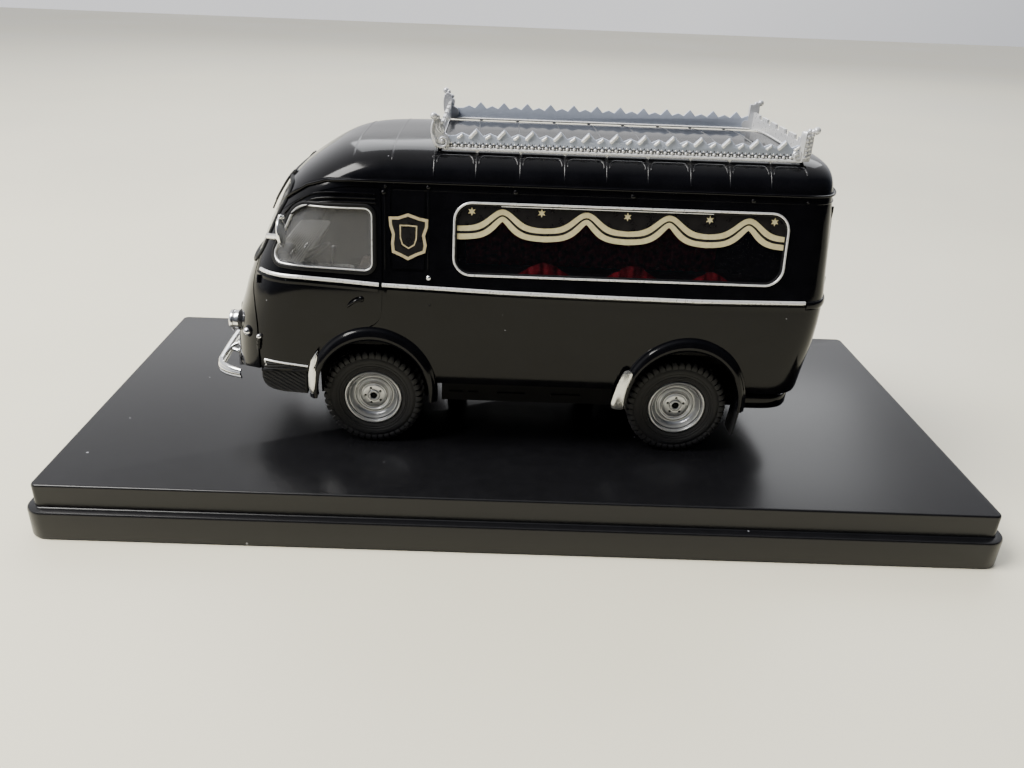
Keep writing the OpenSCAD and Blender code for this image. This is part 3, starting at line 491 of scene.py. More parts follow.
def smooth_line(pts, n):
    """Catmull-Rom line through points"""
    p = np.asarray(pts, float)
    q = np.vstack([2*p[0] - p[1], p, 2*p[-1] - p[-2]])
    out = []
    for i in range(1, len(q) - 2):
        for t in np.linspace(0, 1, n, endpoint=False):
            out.append(0.5*((2*q[i]) + (-q[i - 1] + q[i + 1])*t + (2*q[i - 1] - 5*q[i] + 4*q[i + 1] - q[i + 2])*t**2 + (-q[i - 1] + 3*q[i] - 3*q[i + 1] + q[i + 2])*t**3))
    out.append(p[-1])
    return np.array(out)

def half_round(w, h, n=6, base=-0.12):
    """low ridge: w wide, h proud of the surface"""
    return [(base, -w/2)] + [(h*math.sin(math.pi*i/n), -w/2*math.cos(math.pi*i/n)) for i in range(n + 1)] + [(base, w/2)]

# ------------------------------------------------------------------ body shell
def shell():
    zlow = list(np.arange(11.8, 46.9, 1.3)) + [47.0, 47.5, 48.0, 48.45, 48.9, 49.3, 49.7, 50.1, 50.45, 50.8, 51.1, 51.35, 51.6, 51.8]
    ws = np.arange(14.2, 2.3, -0.9)
    zz = np.linspace(51.6, 52.8, 4000); ww = half_w(zz)
    ztop = [float(np.interp(-w, -ww, zz)) for w in ws]
    ztop = [z for z in ztop if z > 51.85]
    zs = zlow + ztop + [52.8]
    def ring(z, t=0.0, dz=0.0, k=(44, 52, 30)):
        h = outline(z, *k, t=t)
        full = np.vstack([h, h[-2:0:-1]*np.array([1, -1])])
        return np.column_stack([full, np.full(len(full), z - dz)])
    outer = [ring(z) for z in zs]
    # two closing rings on the crown
    top = outer[-1]; ctr = np.array([top[:, 0].mean(), 0, 52.8])
    for k, dz in ((0.55, 0.025), (0.15, 0.035)):
        r = top.copy()
        r[:, 1] *= k
        r[:, 0] = 13 + (r[:, 0] - 13)*(0.6 + 0.4*k)
        r[:, 2] = 52.8 + dz
        outer.append(r)
    zi = [z for i, z in enumerate(zs) if i % 2 == 0 or z > 46] 
    inner = [ring(z, 0.9, 0.9*max(0, min(1, (z - 45)/4)) if i else 0.0) for i, z in enumerate(zi)]
    n = len(outer[0])
    V = np.vstack(outer + inner)
    Fc = []
    no, ni = len(outer), len(inner)
    for j in range(no - 1):
        for i in range(n):
            k = (i + 1) % n
            Fc.append((j*n + i, j*n + k, (j + 1)*n + k, (j + 1)*n + i))
    Fc.append(tuple((no - 1)*n + i for i in range(n)))
    o = no*n
    for j in range(ni - 1):
        for i in range(n):
            k = (i + 1) % n
            Fc.append((o + j*n + k, o + j*n + i, o + (j + 1)*n + i, o + (j + 1)*n + k))
    Fc.append(tuple(o + (ni - 1)*n + i for i in range(n))[::-1])
    for i in range(n):
        k = (i + 1) % n
        Fc.append((i, o + i, o + k, k))
    return V, Fc

def belt_z(x):
    return float(np.interp(x, [-46, -38, -31, -25, -5, 11, 28, 46], [31.6, 31.6, 31.2, 30.8, 30.2, 30.0, 29.9, 30.2]))

SIDE_WIN = lambda g: rrect(53.5 + 2*g, 11.2 + 2*g, 2.7 + g, 13.95, 38.6, 9)
def DOOR_WIN(g):
    return arc(-27.5, 41.6, 1.2 + g, 0, 90, 6) + arc(-36.4, 39.2, 3.6 + g, 90, 157, 9) + arc(-41.2, 34.8, 1.2 + g, 157, 270, 7) + arc(-27.5, 34.3, 1.2 + g, 270, 360, 6)
SCREEN = lambda g: rrect(31 + 2*g, 13 + 2*g, 3 + g, 0, 38.4, 8)
REARW = lambda g: rrect(13 + 2*g, 11 + 2*g, 1.8 + g, 0, 38.6, 6)

bv, bf = shell()
body = mesh("body", bv, bf, "paint", smooth=None, ride=False)

cut = []
cut.append(temp(*prism([(-46.4, 0), (-46.4, 13.9), (-45.9, 14.4), (-37.2, 14.4), (-36.9, 14.2), (-36.9, 12.9), (20, 12.9), (44.0, 12.95), (46.6, 13.2), (48.0, 13.9), (49.0, 15.2), (70, 16.0), (70, 0)], -30, 30)))
for s in (-1, 1):
    cut.append(temp(*prism([(s*y, z) for y, z in [(10.5, 11.55), (12, 11.62), (13, 11.72), (14, 11.9), (15, 12.2), (16, 12.62), (17, 13.1), (18, 13.55), (19, 13.9), (20, 14.2), (21, 14.4), (30, 14.5), (30, 5), (10.5, 5)]], -60, -46.2, "x")))
for x in (-26.6, 27.3):
    a = np.linspace(0, 2*math.pi, 96, endpoint=False)
    cut.append(temp(*prism([(x + 0.88*12.45*math.cos(t), 10.9 + 12.45*math.sin(t)) for t in a], -30, 30)))
cut.append(temp(*prism(SIDE_WIN(0.02), -30, 30)))
cut.append(temp(*prism(DOOR_WIN(0.02), -30, 30)))
cut.append(temp(*prism(SCREEN(0.02), -60, -34, "x")))
for s in (-1, 1):
    cut.append(temp(*prism([(y + s*8.4, z) for y, z in REARW(0.02)], 42, 62, "x")))
boolean(body, cut)

# grooves: cab door shut lines, panels behind the doors, rear doors
def groove_cut(pts, s, w=0.17, d=0.2, n=80):
    return temp(*side_sweep(pts, [(-d, -w/2), (0.5, -w/2), (0.5, w/2), (-d, w/2)], s, n=n))
cut = []
for s in (-1, 1):
    rear = smooth_line([(-24.75, 46.2), (-24.6, 40), (-24.55, 31), (-24.75, 26.5), (-25.6, 24.3), (-27.6, 22.8)], 10)
    cut.append(groove_cut(rear, s, 0.22, 0.25))
    front = smooth_line([(-43.9, 39.5), (-45.5, 34.5), (-46.6, 31.2), (-46.95, 28.9), (-46.5, 25.8), (-46.1, 22.5), (-46.15, 18), (-46.2, 14.0)], 10)
    cut.append(groove_cut(front, s, 0.36, 0.4))
    top = smooth_line([(-24.75, 46.2), (-31, 46.0), (-36, 44.6), (-40.2, 42.2), (-43.9, 38.9)], 10)
    cut.append(groove_cut(top, s, 0.14, 0.18))
boolean(body, cut)
cut = []
for s in (-1, 1):
    ring = rrect(5.5, 12.9, 0.5, -20.3, 39.75, 4)
    pts = []
    for i in range(len(ring)):
        a, b = np.array(ring[i]), np.array(ring[(i + 1) % len(ring)])
        k = max(1, int(np.linalg.norm(b - a)/0.6))
        pts += [tuple(a + (b - a)*j/k) for j in range(k)]
    cut.append(temp(*closed_side_sweep(pts, [(-0.16, -0.22), (0.5, -0.22), (0.5, 0.22), (-0.16, 0.22)], s)))
# rear doors: centre line and outer lines
def tail_line(yz, w=0.2, d=0.25):
    P = np.array([(tail_at(z, y), y, z) for y, z in yz])
    A, B = frames(P, (1, 0, 0))
    return temp(*sweep(P, A, B, [(-d, -w/2), (0.8, -w/2), (0.8, w/2), (-d, w/2)]))
cut.append(tail_line([(0, z) for z in np.linspace(16.5, 46.4, 40)]))
for s in (-1, 1):
    cut.append(tail_line([(s*16.6, z) for z in np.linspace(18.4, 46.0, 40)]))
cut.append(tail_line([(y, 46.3) for y in np.linspace(-16.5, 16.5, 50)]))
boolean(body, cut)
shade(body, 32)
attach(body, "model"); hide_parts("body_shell")

# raised seams across the roof
RIBS = [-29.4, -23.1, -16.4, -9.7, -2.7, 4.4, 11.1, 17.7, 24.5, 30.8, 37.4]
def roof_z(x, y):
    """height of the roof at (x, y)"""
    lo, hi = 45.0, 52.8
    def inside(z):
        return float(nose_x(z)) <= x <= float(tail_x(z)) and side_y(x, z) >= abs(y)
    for _ in range(40):
        m = (lo + hi)/2
        if inside(m): lo = m
        else: hi = m
    return lo
def rib(x, zb):
    """points of the roof section at x from height zb on one side to the same on the other"""
    yb = side_y(x, zb)
    side_pts = [(side_y(x, z), z) for z in np.linspace(zb, min(51.2, roof_z(x, 0) - 0.9), 12)]
    y_in = side_pts[-1][0]
    top_pts = [(y, roof_z(x, y)) for y in np.linspace(y_in, 0, 16)[1:]]
    h = side_pts + top_pts
    return [(y, z) for y, z in h] + [(-y, z) for y, z in h[-2::-1]]
ribs = []
for i, x in enumerate(RIBS):
    zb = 50.2 if i < 2 else 48.15
    pts = rib(x, zb)
    P = np.array([(x, y, z) for y, z in pts])
    T = np.gradient(P, axis=0); T /= np.linalg.norm(T, axis=1)[:, None]
    X = np.repeat(np.array([[1.0, 0, 0]]), len(P), 0)
    Nn = np.cross(T, X); Nn *= np.sign(Nn[len(P)//2, 2])
    tp = np.ones(len(P)); tp[0] = tp[-1] = 0.35; tp[1] = tp[-2] = 0.8
    ribs.append(sweep(P, Nn, X, [(-0.2, -0.17), (0.0, -0.16), (0.05, -0.1), (0.075, 0), (0.05, 0.1), (0.0, 0.16), (-0.2, 0.17)], scale=tp))
ob = mesh("roof_seams", *join(*ribs), "roofpaint", smooth=70)

# pressed panels between the seams, below the gallery
pan = []
for s in (-1, 1):
    for a, b in zip(RIBS[2:], RIBS[3:] + [43.6]):
        c = [(a + 0.45, 50.1), (a + 0.45, 50.3)] + [(a + 0.45 + 0.8*(1 - math.cos(t)), 50.3 + 0.75*math.sin(t)) for t in np.linspace(0.2, math.pi/2, 5)] + \
            [(b - 0.45 - 0.8*(1 - math.sin(t)), 50.3 + 0.75*math.cos(t)) for t in np.linspace(0, math.pi/2 - 0.2, 5)] + [(b - 0.45, 50.3), (b - 0.45, 50.1)]
        pan.append(side_sweep(c, half_round(0.28, 0.07, 4), s, n=40))
ob = mesh("roof_panel_edges", *join(*pan), "roofpaint", smooth=60)

# gutter along both sides and round the tail, and down the screen pillars
def gutter_z(x):
    return float(np.interp(x, [-42, -39.4, -36.7, -33.5, -29.5, 60], [42.0, 44.1, 45.85, 46.95, 47.25, 47.25]))
def gutter_path(s_off=0.0, xstart=-41.6):
    h = outline(47.25, 120, 80, 90)
    pts = []
    for k in range(len(h)):
        z = 47.25; q = h[k]
        for _ in range(6):
            z = gutter_z(q[0]); q = outline(z, 120, 80, 90)[k] if q[0] < -29.5 else h[k]
            if q[0] >= -29.5: z = 47.25; break
        pts.append((q[0], q[1], z))
    pts = [p for p in pts if p[0] > xstart]
    return pts
gp = gutter_path()
full = np.array([(x, -y, z) for x, y, z in gp] + [(x, y, z) for x, y, z in gp[-2::-1]])
T = np.gradient(full, axis=0); T /= np.linalg.norm(T, axis=1)[:, None]
out = np.cross(T, np.array([0, 0, 1.0])); out /= np.linalg.norm(out, axis=1)[:, None]
if out[5][1] > 0: out = -out
B = np.cross(T, out); B *= np.sign(B[len(B)//2, 2])
sc = np.ones(len(full)); sc[:6] = np.linspace(0.3, 1, 6); sc[-6:] = np.linspace(1, 0.3, 6)
g1 = sweep(full, out, B, [(-0.25, -0.3), (0.3, -0.3), (0.5, -0.2), (0.55, 0.0), (0.5, 0.12), (0.38, 0.16), (0.3, 0.04), (0.12, 0.04), (0.0, 0.3), (-0.25, 0.3)], scale=sc)
# thin second line below, along the straight side and the tail
low = full[(full[:, 0] > -23)]
lowp = np.array([[p[0], p[1], 45.95] for p in low])
kk = [i for i in range(len(full)) if full[i, 0] > -23]
g2 = sweep(lowp + out[kk]*0.18, out[kk], B[kk], half_round(0.22, 0.14, 4, -0.3))
g3 = []
for s in (-1, 1):
    for x in (-3.3, 15.4, 34.6):
        P, Nn = on_side(x, 46.2, s)
        g3.append(place(ball((0, 0, 0), 0.42, 12, 8, (1, 0.7, 1.0)), np.eye(3), P + Nn*0.1))
    P, Nn = on_side(43.3, 46.2, s)
    g3.append(ball(P + Nn*0.12, 0.22, 8, 6))
ob = mesh("gutter_strip", *join(g1, g2, *g3), "paint", smooth=40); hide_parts("gutter")

# ridges over the door window and the small posts behind it
rd = []
for s in (-1, 1):
    for dz, h in ((0.0, 0.28), (-0.75, 0.2), (-1.4, 0.16)):
        c = smooth_line([(-40.9, 40.9 + dz*0.55), (-38.6, 43.0 + dz*0.9), (-35.3, 44.75 + dz), (-31, 45.2 + dz), (-25.6, 45.2 + dz)], 8)
        rd.append(side_sweep(c, half_round(0.3, h, 5), s, n=46))
    P, Nn = on_side(-24.3, 45.5, s); rd.append(ball(P, 0.42, 10, 8)); 
    P, Nn = on_side(-24.0, 46.4, s); rd.append(ball(P, 0.3, 10, 8))
    P, Nn = on_side(-17.2, 46.5, s); rd.append(ball(P, 0.42, 10, 8))
    for x in (-24.1, -17.15):
        c = [(x, z) for z in np.linspace(33.4, 46.4, 20)]
        rd.append(side_sweep(c, half_round(0.26, 0.12, 4), s, n=30))
    # step line under the belt, in two lengths
    c = [(x, belt_z(x) - 0.75) for x in np.linspace(-23.8, 46.0, 50)]
    rd.append(side_sweep(c, [(-0.2, -0.9), (0.0, -0.9), (0.1, -0.2), (0.16, 0.0), (0.14, 0.12), (-0.2, 0.2)], s, n=120))
    c = [(x, belt_z(x) - 0.75) for x in np.linspace(-46.2, -25.3, 30)]
    rd.append(side_sweep(c, [(-0.2, -0.5), (0.0, -0.5), (0.07, -0.15), (0.1, 0.0), (0.08, 0.1), (-0.2, 0.15)], s, n=60))
ob = mesh("side_mouldings_black", *join(*rd), "paint", smooth=50)
# black moulding that carries the belt line round the tail
P = []
h = outline(29.4, 60, 60, 90)
tp = [(x, y) for x, y in h if x > 45.2]
full = np.array([(x, -y, belt_z(45) - 0.5) for x, y in tp] + [(x, y, belt_z(45) - 0.5) for x, y in tp[-2::-1]])
T = np.gradient(full, axis=0); T /= np.linalg.norm(T, axis=1)[:, None]
out = np.cross(T, np.array([0, 0, 1.0])); out /= np.linalg.norm(out, axis=1)[:, None]
if out[0][1] > 0: out = -out
B = np.cross(T, out); B *= np.sign(B[len(B)//2, 2])
ob = mesh("tail_moulding", *sweep(full, out, B, half_round(1.5, 0.3, 8, -0.3)), "paint", smooth=50)

# ------------------------------------------------------------------ wheel arch flares
def flare(xc, s):
    ts = np.radians(np.linspace(-5.5, 185.5, 72))
    V = []
    # profile: (radius of the vertical half axis, distance out), the horizontal half axis is scaled by k
    prof = [(12.75, 20.9), (12.75, 21.75), (12.62, 22.05), (12.35, 22.2), (12.1, 22.32), (11.95, 22.55), (11.6, 22.75), (11.0, 22.92), (10.7, 22.96), (10.45, 22.9), (10.32, 22.7), (10.28, 22.3), (10.28, 20.9)]
    ks = [0.875, 0.875, 0.877, 0.88, 0.885, 0.89, 0.9, 0.925, 0.935, 0.945, 0.95, 0.95, 0.95]
    m = len(prof)
    for t in ts:
        for (r, y), k in zip(prof, ks):
            yy = y
            V.append((xc + k*r*math.cos(t), s*yy, 10.9 + r*math.sin(t)))
    Fc = []
    for i in range(len(ts) - 1):
        for k in range(m):
            l = (k + 1) % m
            Fc.append((i*m + k, i*m + l, (i + 1)*m + l, (i + 1)*m + k))
    Fc.append(tuple(range(m))[::-1]); Fc.append(tuple((len(ts) - 1)*m + k for k in range(m)))
    # fine bead on the inner edge
    P = np.array([(xc + 0.955*10.25*math.cos(t), s*22.78, 10.9 + 10.25*math.sin(t)) for t in ts])
    return join((V, Fc), tube(P, 0.13, ref=(0, 1, 0), n=8))
ob = mesh("front_arch_flares", *join(flare(-26.6, -1), flare(-26.6, 1)), "paint", smooth=38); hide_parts("front_wheel_arches")
ob = mesh("rear_arch_flares", *join(flare(27.3, -1), flare(27.3, 1)), "paint", smooth=38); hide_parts("rear_wheel_arches")

# ------------------------------------------------------------------ wheels
def tyre(xc, s, name, body_name):
    y0 = 20.0   # outer wall
    prof = [(5.05, -0.35), (5.2, -0.12), (5.5, -0.02), (5.75, 0.05), (5.85, 0.0), (6.3, 0.02), (6.9, 0.07), (7.25, 0.06), (7.35, 0.0), (7.7, -0.06), (8.05, -0.25), (8.25, -0.6), (8.33, -1.2), (8.36, -2.1),
            (8.33, -3.0), (8.25, -3.6), (8.05, -3.95), (7.6, -4.15), (6.8, -4.22), (5.8, -4.15), (5.2, -4.0), (5.05, -3.85)]
    parts = [revolve([(r, t) for r, t in prof], (xc, s*y0, HZ), "y", 120, s)]
    n = 44
    for side in (0, 1):
        for i in range(n):
            a0 = 2*math.pi*(i + 0.5*side)/n
            # lug profile (radius, offset from outer wall), chevron skew grows towards the middle of the tread
            lp = [(7.55, 0.02), (7.75, 0.1), (8.2, 0.06), (8.62, -0.18), (8.8, -0.5), (8.8, -1.72), (8.3, -1.8), (8.2, -0.7), (7.9, -0.2), (7.6, -0.1)]
            if side:
                lp = [(r, -4.2 - t) for r, t in lp]
            V = []
            for e, w in ((-1, 0), (1, 1)):
                for r, t in lp:
                    depth = min(1.0, abs((t if not side else -4.2 - t))/1.8)
                    wid = (0.62 if r > 8.5 else 0.8)*math.pi/n*(0.86 if r > 8.5 else 1.0)
                    a = a0 + e*wid + (0.55*math.pi/n)*depth*(1 if side else 1)
                    V.append((xc + r*math.cos(a), s*(y0 + t), HZ + r*math.sin(a)))
            m = len(lp)
            f = [tuple(range(m)), tuple(range(m, 2*m))[::-1]] + [(k, m + k, m + (k + 1) % m, (k + 1) % m) for k in range(m)]
            parts.append((V, f))
    # middle rib, zigzag
    k = 88
    V = []
    for i in range(k):
        a = 2*math.pi*i/k
        off = 0.14 if i % 2 else -0.14
        for r, t in ((8.2, -2.1 - 0.28 + off), (8.72, -2.1 - 0.22 + off), (8.72, -2.1 + 0.22 + off), (8.2, -2.1 + 0.28 + off)):
            V.append((xc + r*math.cos(a), s*(y0 + t), HZ + r*math.sin(a)))
    f = []
    for i in range(k):
        j = (i + 1) % k
        for q in range(4):
            l = (q + 1) % 4
            f.append((i*4 + q, i*4 + l, j*4 + l, j*4 + q))
    parts.append((V, f))
    # fine rings moulded in the sidewall
    for r in (6.05, 6.55):
        P = [(xc + r*math.cos(a), s*(y0 + 0.03), HZ + r*math.sin(a)) for a in np.linspace(0, 2*math.pi, 97)[:-1]]
        P = np.array(P)
        rad = (P - np.array([xc, s*y0, HZ])); rad[:, 1] = 0; rad /= np.linalg.norm(rad, axis=1)[:, None]
        parts.append(sweep(P, rad, np.repeat([[0, float(s), 0]], len(P), 0), [(-0.1, -0.06), (0, 0.05), (0.1, -0.06)], closed=True))
    return join(*parts)

def rim(xc, s):
    R = 5.1
    prof = [(0.82, -3.4), (3.6, -3.4), (4.6, -3.9), (5.04, -4.0), (5.08, -3.9), (5.08, -0.25), (5.05, -0.06), (4.96, 0.06), (4.82, 0.1), (4.68, 0.06), (4.6, -0.06), (4.55, -0.3), (4.48, -0.42),
            (4.36, -0.42), (4.28, -0.36), (4.18, -0.4), (4.08, -0.6), (3.95, -1.0), (3.78, -1.32), (3.55, -1.5), (3.3, -1.52), (3.12, -1.44), (3.02, -1.26), (2.95, -1.1), (2.84, -1.02), (2.72, -1.04),
            (2.62, -1.14), (2.5, -1.2), (2.3, -1.2), (2.16, -1.16), (2.05, -1.04), (1.96, -0.95), (1.85, -0.92), (1.2, -0.92), (1.05, -0.94), (0.98, -0.86), (0.88, -0.8), (0.72, -0.8), (0.62, -0.86), (0.6, -1.6), (0.82, -1.7)]
    return revolve(prof, (xc, s*20.0, HZ), "y", 112, s)

for nm, xc, bd in (("front", XF, "front_wheels"), ("rear", XR, "rear_wheels")):
    tparts = [tyre(xc, s, nm, bd) for s in (-1, 1)]
    ob = mesh(nm + "_tyres_treaded", *join(*tparts), "rubber", body=bd, smooth=34)
    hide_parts(nm + "_tyres")
    rims, holes, nuts, lines = [], [], [], []
    for s in (-1, 1):
        rv = rim(xc, s)
        # dark rings that sit in the pressed steps of the wheel: painted shade in the steps
        for r0, r1, d in ((4.33, 4.48, -0.385), (3.2, 3.36, -1.475), (2.27, 2.42, -1.165), (1.02, 1.1, -0.9)):
            lines.append(revolve([(r0, d - 0.12), (r0, d - 0.01), ((r0 + r1)/2, d), (r1, d - 0.01), (r1, d - 0.12)], (xc, s*20.0, HZ), "y", 96, s))
        me_ob = mesh("%s_rim_%s" % (nm, "left" if s < 0 else "right"), *rv, "wheel", body=bd, smooth=None, ride=False)
        cs = []
        ph = 18 if nm == "front" else 0
        for i in range(5):
            a = math.radians(90 + 72*i + ph)
            c = (xc + 1.48*math.cos(a), s*20.0, HZ + 1.48*math.sin(a))
            V, f = revolve([(0.0001, -1.5), (0.24, -1.5), (0.24, 0.2), (0.0001, 0.2)], c, "y", 16, s)
            cs.append(temp(V, f))
        boolean(me_ob, cs)
        shade(me_ob, 28)
        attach(me_ob, bd)
        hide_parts(nm + "_rims")
        # near-black discs behind the holes and in the hub: painted shade inside the wheel; hub pin
        for i in range(5):
            a = math.radians(90 + 72*i + ph)
            c = (xc + 1.48*math.cos(a), s*20.0, HZ + 1.48*math.sin(a))
            holes.append(revolve([(0.001, -1.45), (0.235, -1.45), (0.235, -1.2), (0.18, -1.16), (0.001, -1.16)], c, "y", 16, s))
        holes.append(revolve([(0.001, -1.4), (0.6, -1.4), (0.6, -1.02), (0.5, -0.98), (0.001, -0.98)], (xc, s*20.0, HZ), "y", 24, s))
        nuts.append(revolve([(0.001, -1.1), (0.3, -1.1), (0.3, -0.94), (0.22, -0.86), (0.001, -0.86)], (xc, s*20.0, HZ), "y", 16, s))
    ob = mesh(nm + "_wheel_wells_painted_shade", *join(*holes), "hole", body=bd, smooth=40)
    ob = mesh(nm + "_hub_pins", *join(*nuts), "chassis", body=bd, smooth=40)

    ob = mesh(nm + "_wheel_step_shade_rings", *join(*lines), "wash", body=bd, smooth=40)

# ------------------------------------------------------------------ roof gallery
GX0, GX1, GY, GZ = -14.8, 42.2, 15.8, 51.9
PER, XT0 = 4.475, -9.9
VAL, SML, BIG = 2.1, 2.55, 3.2
def tooth_line():
    """upper edge of a side strip: tall and short teeth in turn"""
    q = PER/4
    pts = [(GX0, GZ + VAL - 0.05), (XT0 - 3*q, GZ + VAL)]
    for k in range(12):
        a = XT0 + PER*k
        pts += [(a - 2*q - 0.08, GZ + SML), (a - 2*q + 0.08, GZ + SML), (a - q, GZ + VAL), (a - 0.07, GZ + BIG), (a + 0.07, GZ + BIG), (a + q, GZ + VAL)]
    a = XT0 + PER*12
    pts += [(a - 2*q - 0.08, GZ + SML), (a - 2*q + 0.08, GZ + SML), (GX1, GZ + VAL + 0.02)]
    return pts
TL_ = tooth_line()
def strip(s):
    poly = [(GX0, GZ)] + TL_ + [(GX1, GZ)]
    parts_in = prism(poly, s*GY - 0.24, s*GY + 0.24)
    face = s*(GY + 0.24)
    det, dark, bright = [], [], []
    bar = [(0, -0.1), (0.26, -0.1), (0.32, 0.0), (0.3, 0.22), (0.2, 0.32), (0, 0.34)]
    P = np.array([(GX0 - 0.2, face, GZ), (GX1 + 0.1, face, GZ)])
    bright.append(sweep(P, np.repeat([[0, float(s), 0]], 2, 0), np.repeat([[0, 0, 1.0]], 2, 0), bar))
    Pi = np.array([(GX0, s*(GY - 0.24), GZ + 0.1), (GX1, s*(GY - 0.24), GZ + 0.1)])
    bright.append(sweep(Pi, np.repeat([[0, -float(s), 0]], 2, 0), np.repeat([[0, 0, 1.0]], 2, 0), [(0, 0), (0.22, 0), (0.24, 0.16), (0, 0.28)]))
    lo, hi = min(face, face + s*0.03), max(face, face + s*0.03)
    # dark band behind the beads: painted shadow on the strip
    dark.append(prism([(GX0 + 0.1, GZ + 0.36), (GX1 - 0.1, GZ + 0.36), (GX1 - 0.1, GZ + 0.86), (GX0 + 0.1, GZ + 0.86)], lo, hi))
    st = PER/4
    n = int((GX1 - GX0 - 0.8)/st)
    for i in range(n + 1):
        x = GX0 + 0.45 + i*st
        det.append(ball((x, face + s*0.12, GZ + 0.6), 0.25, 10, 7, (1, 0.9, 1)))
        det.append(ball((x + st/2, face + s*0.05, GZ + 0.98), 0.15, 8, 6, (1, 0.9, 1)))
        det.append(ball((x + st/2, face + s*0.02, GZ + 0.5), 0.13, 8, 6, (1, 0.8, 1)))
        # dark triangle over each bead: painted shadow
        dark.append(prism([(x - 0.17, GZ + 0.95), (x + 0.17, GZ + 0.95), (x, GZ + 1.25)], lo, hi))
    # raised bevel on the front flank of each tooth
    q = PER/4
    for k in range(13):
        a = XT0 + PER*k
        fl = [((a - q - 0.12, VAL - 0.2), (a - 0.02, BIG - 0.02), 0.5)] if k < 12 else []
        fl.append(((a - 3*q + 0.25, VAL - 0.25), (a - 2*q + 0.02, SML - 0.02), 0.42))
        for (xa, za), (xb, zb), w in fl:
            if xa < GX0 + 0.2 or xb > GX1: continue
            A_, B_ = np.array([xa, GZ + za]), np.array([xb, GZ + zb])
            d = (B_ - A_)/np.linalg.norm(B_ - A_); e = np.array([d[1], -d[0]])
            ou = [A_ + d*0.06, A_ + e*w*0.5, A_ + e*w + d*0.1, B_ + e*w - d*0.12, B_ + e*w*0.4, B_ - d*0.03]
            c = sum(ou)/6
            V = [(p[0], face, p[1]) for p in ou] + [(c[0] + (p[0] - c[0])*0.92, face + s*0.16, c[1] + (p[1] - c[1])*0.92) for p in ou] + [(c[0] + (p[0] - c[0])*0.62, face + s*0.22, c[1] + (p[1] - c[1])*0.62) for p in ou]
            f = [tuple(range(6)), tuple(range(12, 18))[::-1]]
            for r in range(2):
                f += [(r*6 + i, (r + 1)*6 + i, (r + 1)*6 + (i + 1) % 6, r*6 + (i + 1) % 6) for i in range(6)]
            bright.append((V, f))
    # small pendants below the bar over the roof seams
    for x in RIBS[3:]:
        bright.append(prism([(x - 0.38, GZ - 0.05), (x + 0.38, GZ - 0.05), (x + 0.08, GZ - 0.4), (x - 0.08, GZ - 0.4)], min(s*(GY + 0.15), s*(GY + 0.4)), max(s*(GY + 0.15), s*(GY + 0.4))))
    return parts_in, det, dark, bright
for s, nm in ((-1, "left"), (1, "right")):
    base, det, dark, bright = strip(s)
    # side strip in the darker copy of the silver: painted shade
    ob = mesh("gallery_strip_" + nm, *base, "gallery_in" , smooth=30, bevel=0.05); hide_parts("gallery_" + nm)
    ob = mesh("gallery_beads_" + nm, *join(*det), "foil", smooth=40)
    # bevels, bars and pendants in the near-white copy of the silver: painted highlight
    ob = mesh("gallery_bevels_" + nm, *join(*bright), "bars", smooth=30)
    ob = mesh("gallery_shadow_band_" + nm, *join(*dark), "wash", smooth=30)

# end panels across the roof: lower edge follows the crown, upper edge has merlons
def end_panel(x, e):
    ys = np.linspace(-GY + 0.4, GY - 0.4, 33)
    bottom = [(y, max(GZ - 0.05, min(GZ + 1.05, roof_z(x, y) + 0.12))) for y in ys]
    top = [(GY - 0.4, GZ + 3.25)]
    for i in (2, 1, 0, -1, -2):
        yc = i*5.3
        top += [(yc + 1.05, GZ + 3.25), (yc + 0.95, GZ + 2.5), (yc - 0.95, GZ + 2.5), (yc - 1.05, GZ + 3.25)]
    top.append((-GY + 0.4, GZ + 3.25))
    parts = [prism(bottom + top, x - 0.22, x + 0.22, "x")]
    out = x + e*0.22
    P = np.array([(out, y, b + 0.14) for y, b in bottom])
    A = np.repeat([[float(e), 0, 0]], len(P), 0); Zv = np.repeat([[0, 0, 1.0]], len(P), 0)
    parts.append(sweep(P, A, Zv, [(-0.05, -0.12), (0.16, -0.12), (0.2, 0.1), (-0.05, 0.16)]))
    for i in range(-13, 14):
        y = i*1.13
        zb = float(np.interp(y, ys, [b for _, b in bottom]))
        parts.append(ball((out + e*0.05, y, zb + 0.62), 0.2, 8, 6))
    for i in range(-3, 4):
        for h in (-1, 1):
            yc = i*5.3 + h*1.65
            if abs(yc) < GY - 0.9:
                parts.append(prism([(yc - 0.45, GZ + 2.3), (yc + 0.45, GZ + 2.3), (yc + 0.3, GZ + 2.95), (yc - 0.3, GZ + 2.95)], min(out, out + e*0.12), max(out, out + e*0.12), "x"))
    P2 = P.copy(); P2[:, 0] = x - e*0.22
    parts.append(sweep(P2, -A, Zv, [(-0.05, -0.12), (0.1, -0.12), (0.12, 0.05), (-0.05, 0.1)]))
    return join(*parts)
for x, e, nm in ((GX0 - 0.9, -1, "front"), (GX1 + 0.65, 1, "rear")):
    ob = mesh("gallery_panel_" + nm, *end_panel(x, e), "foil", smooth=35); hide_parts("gallery_" + nm)

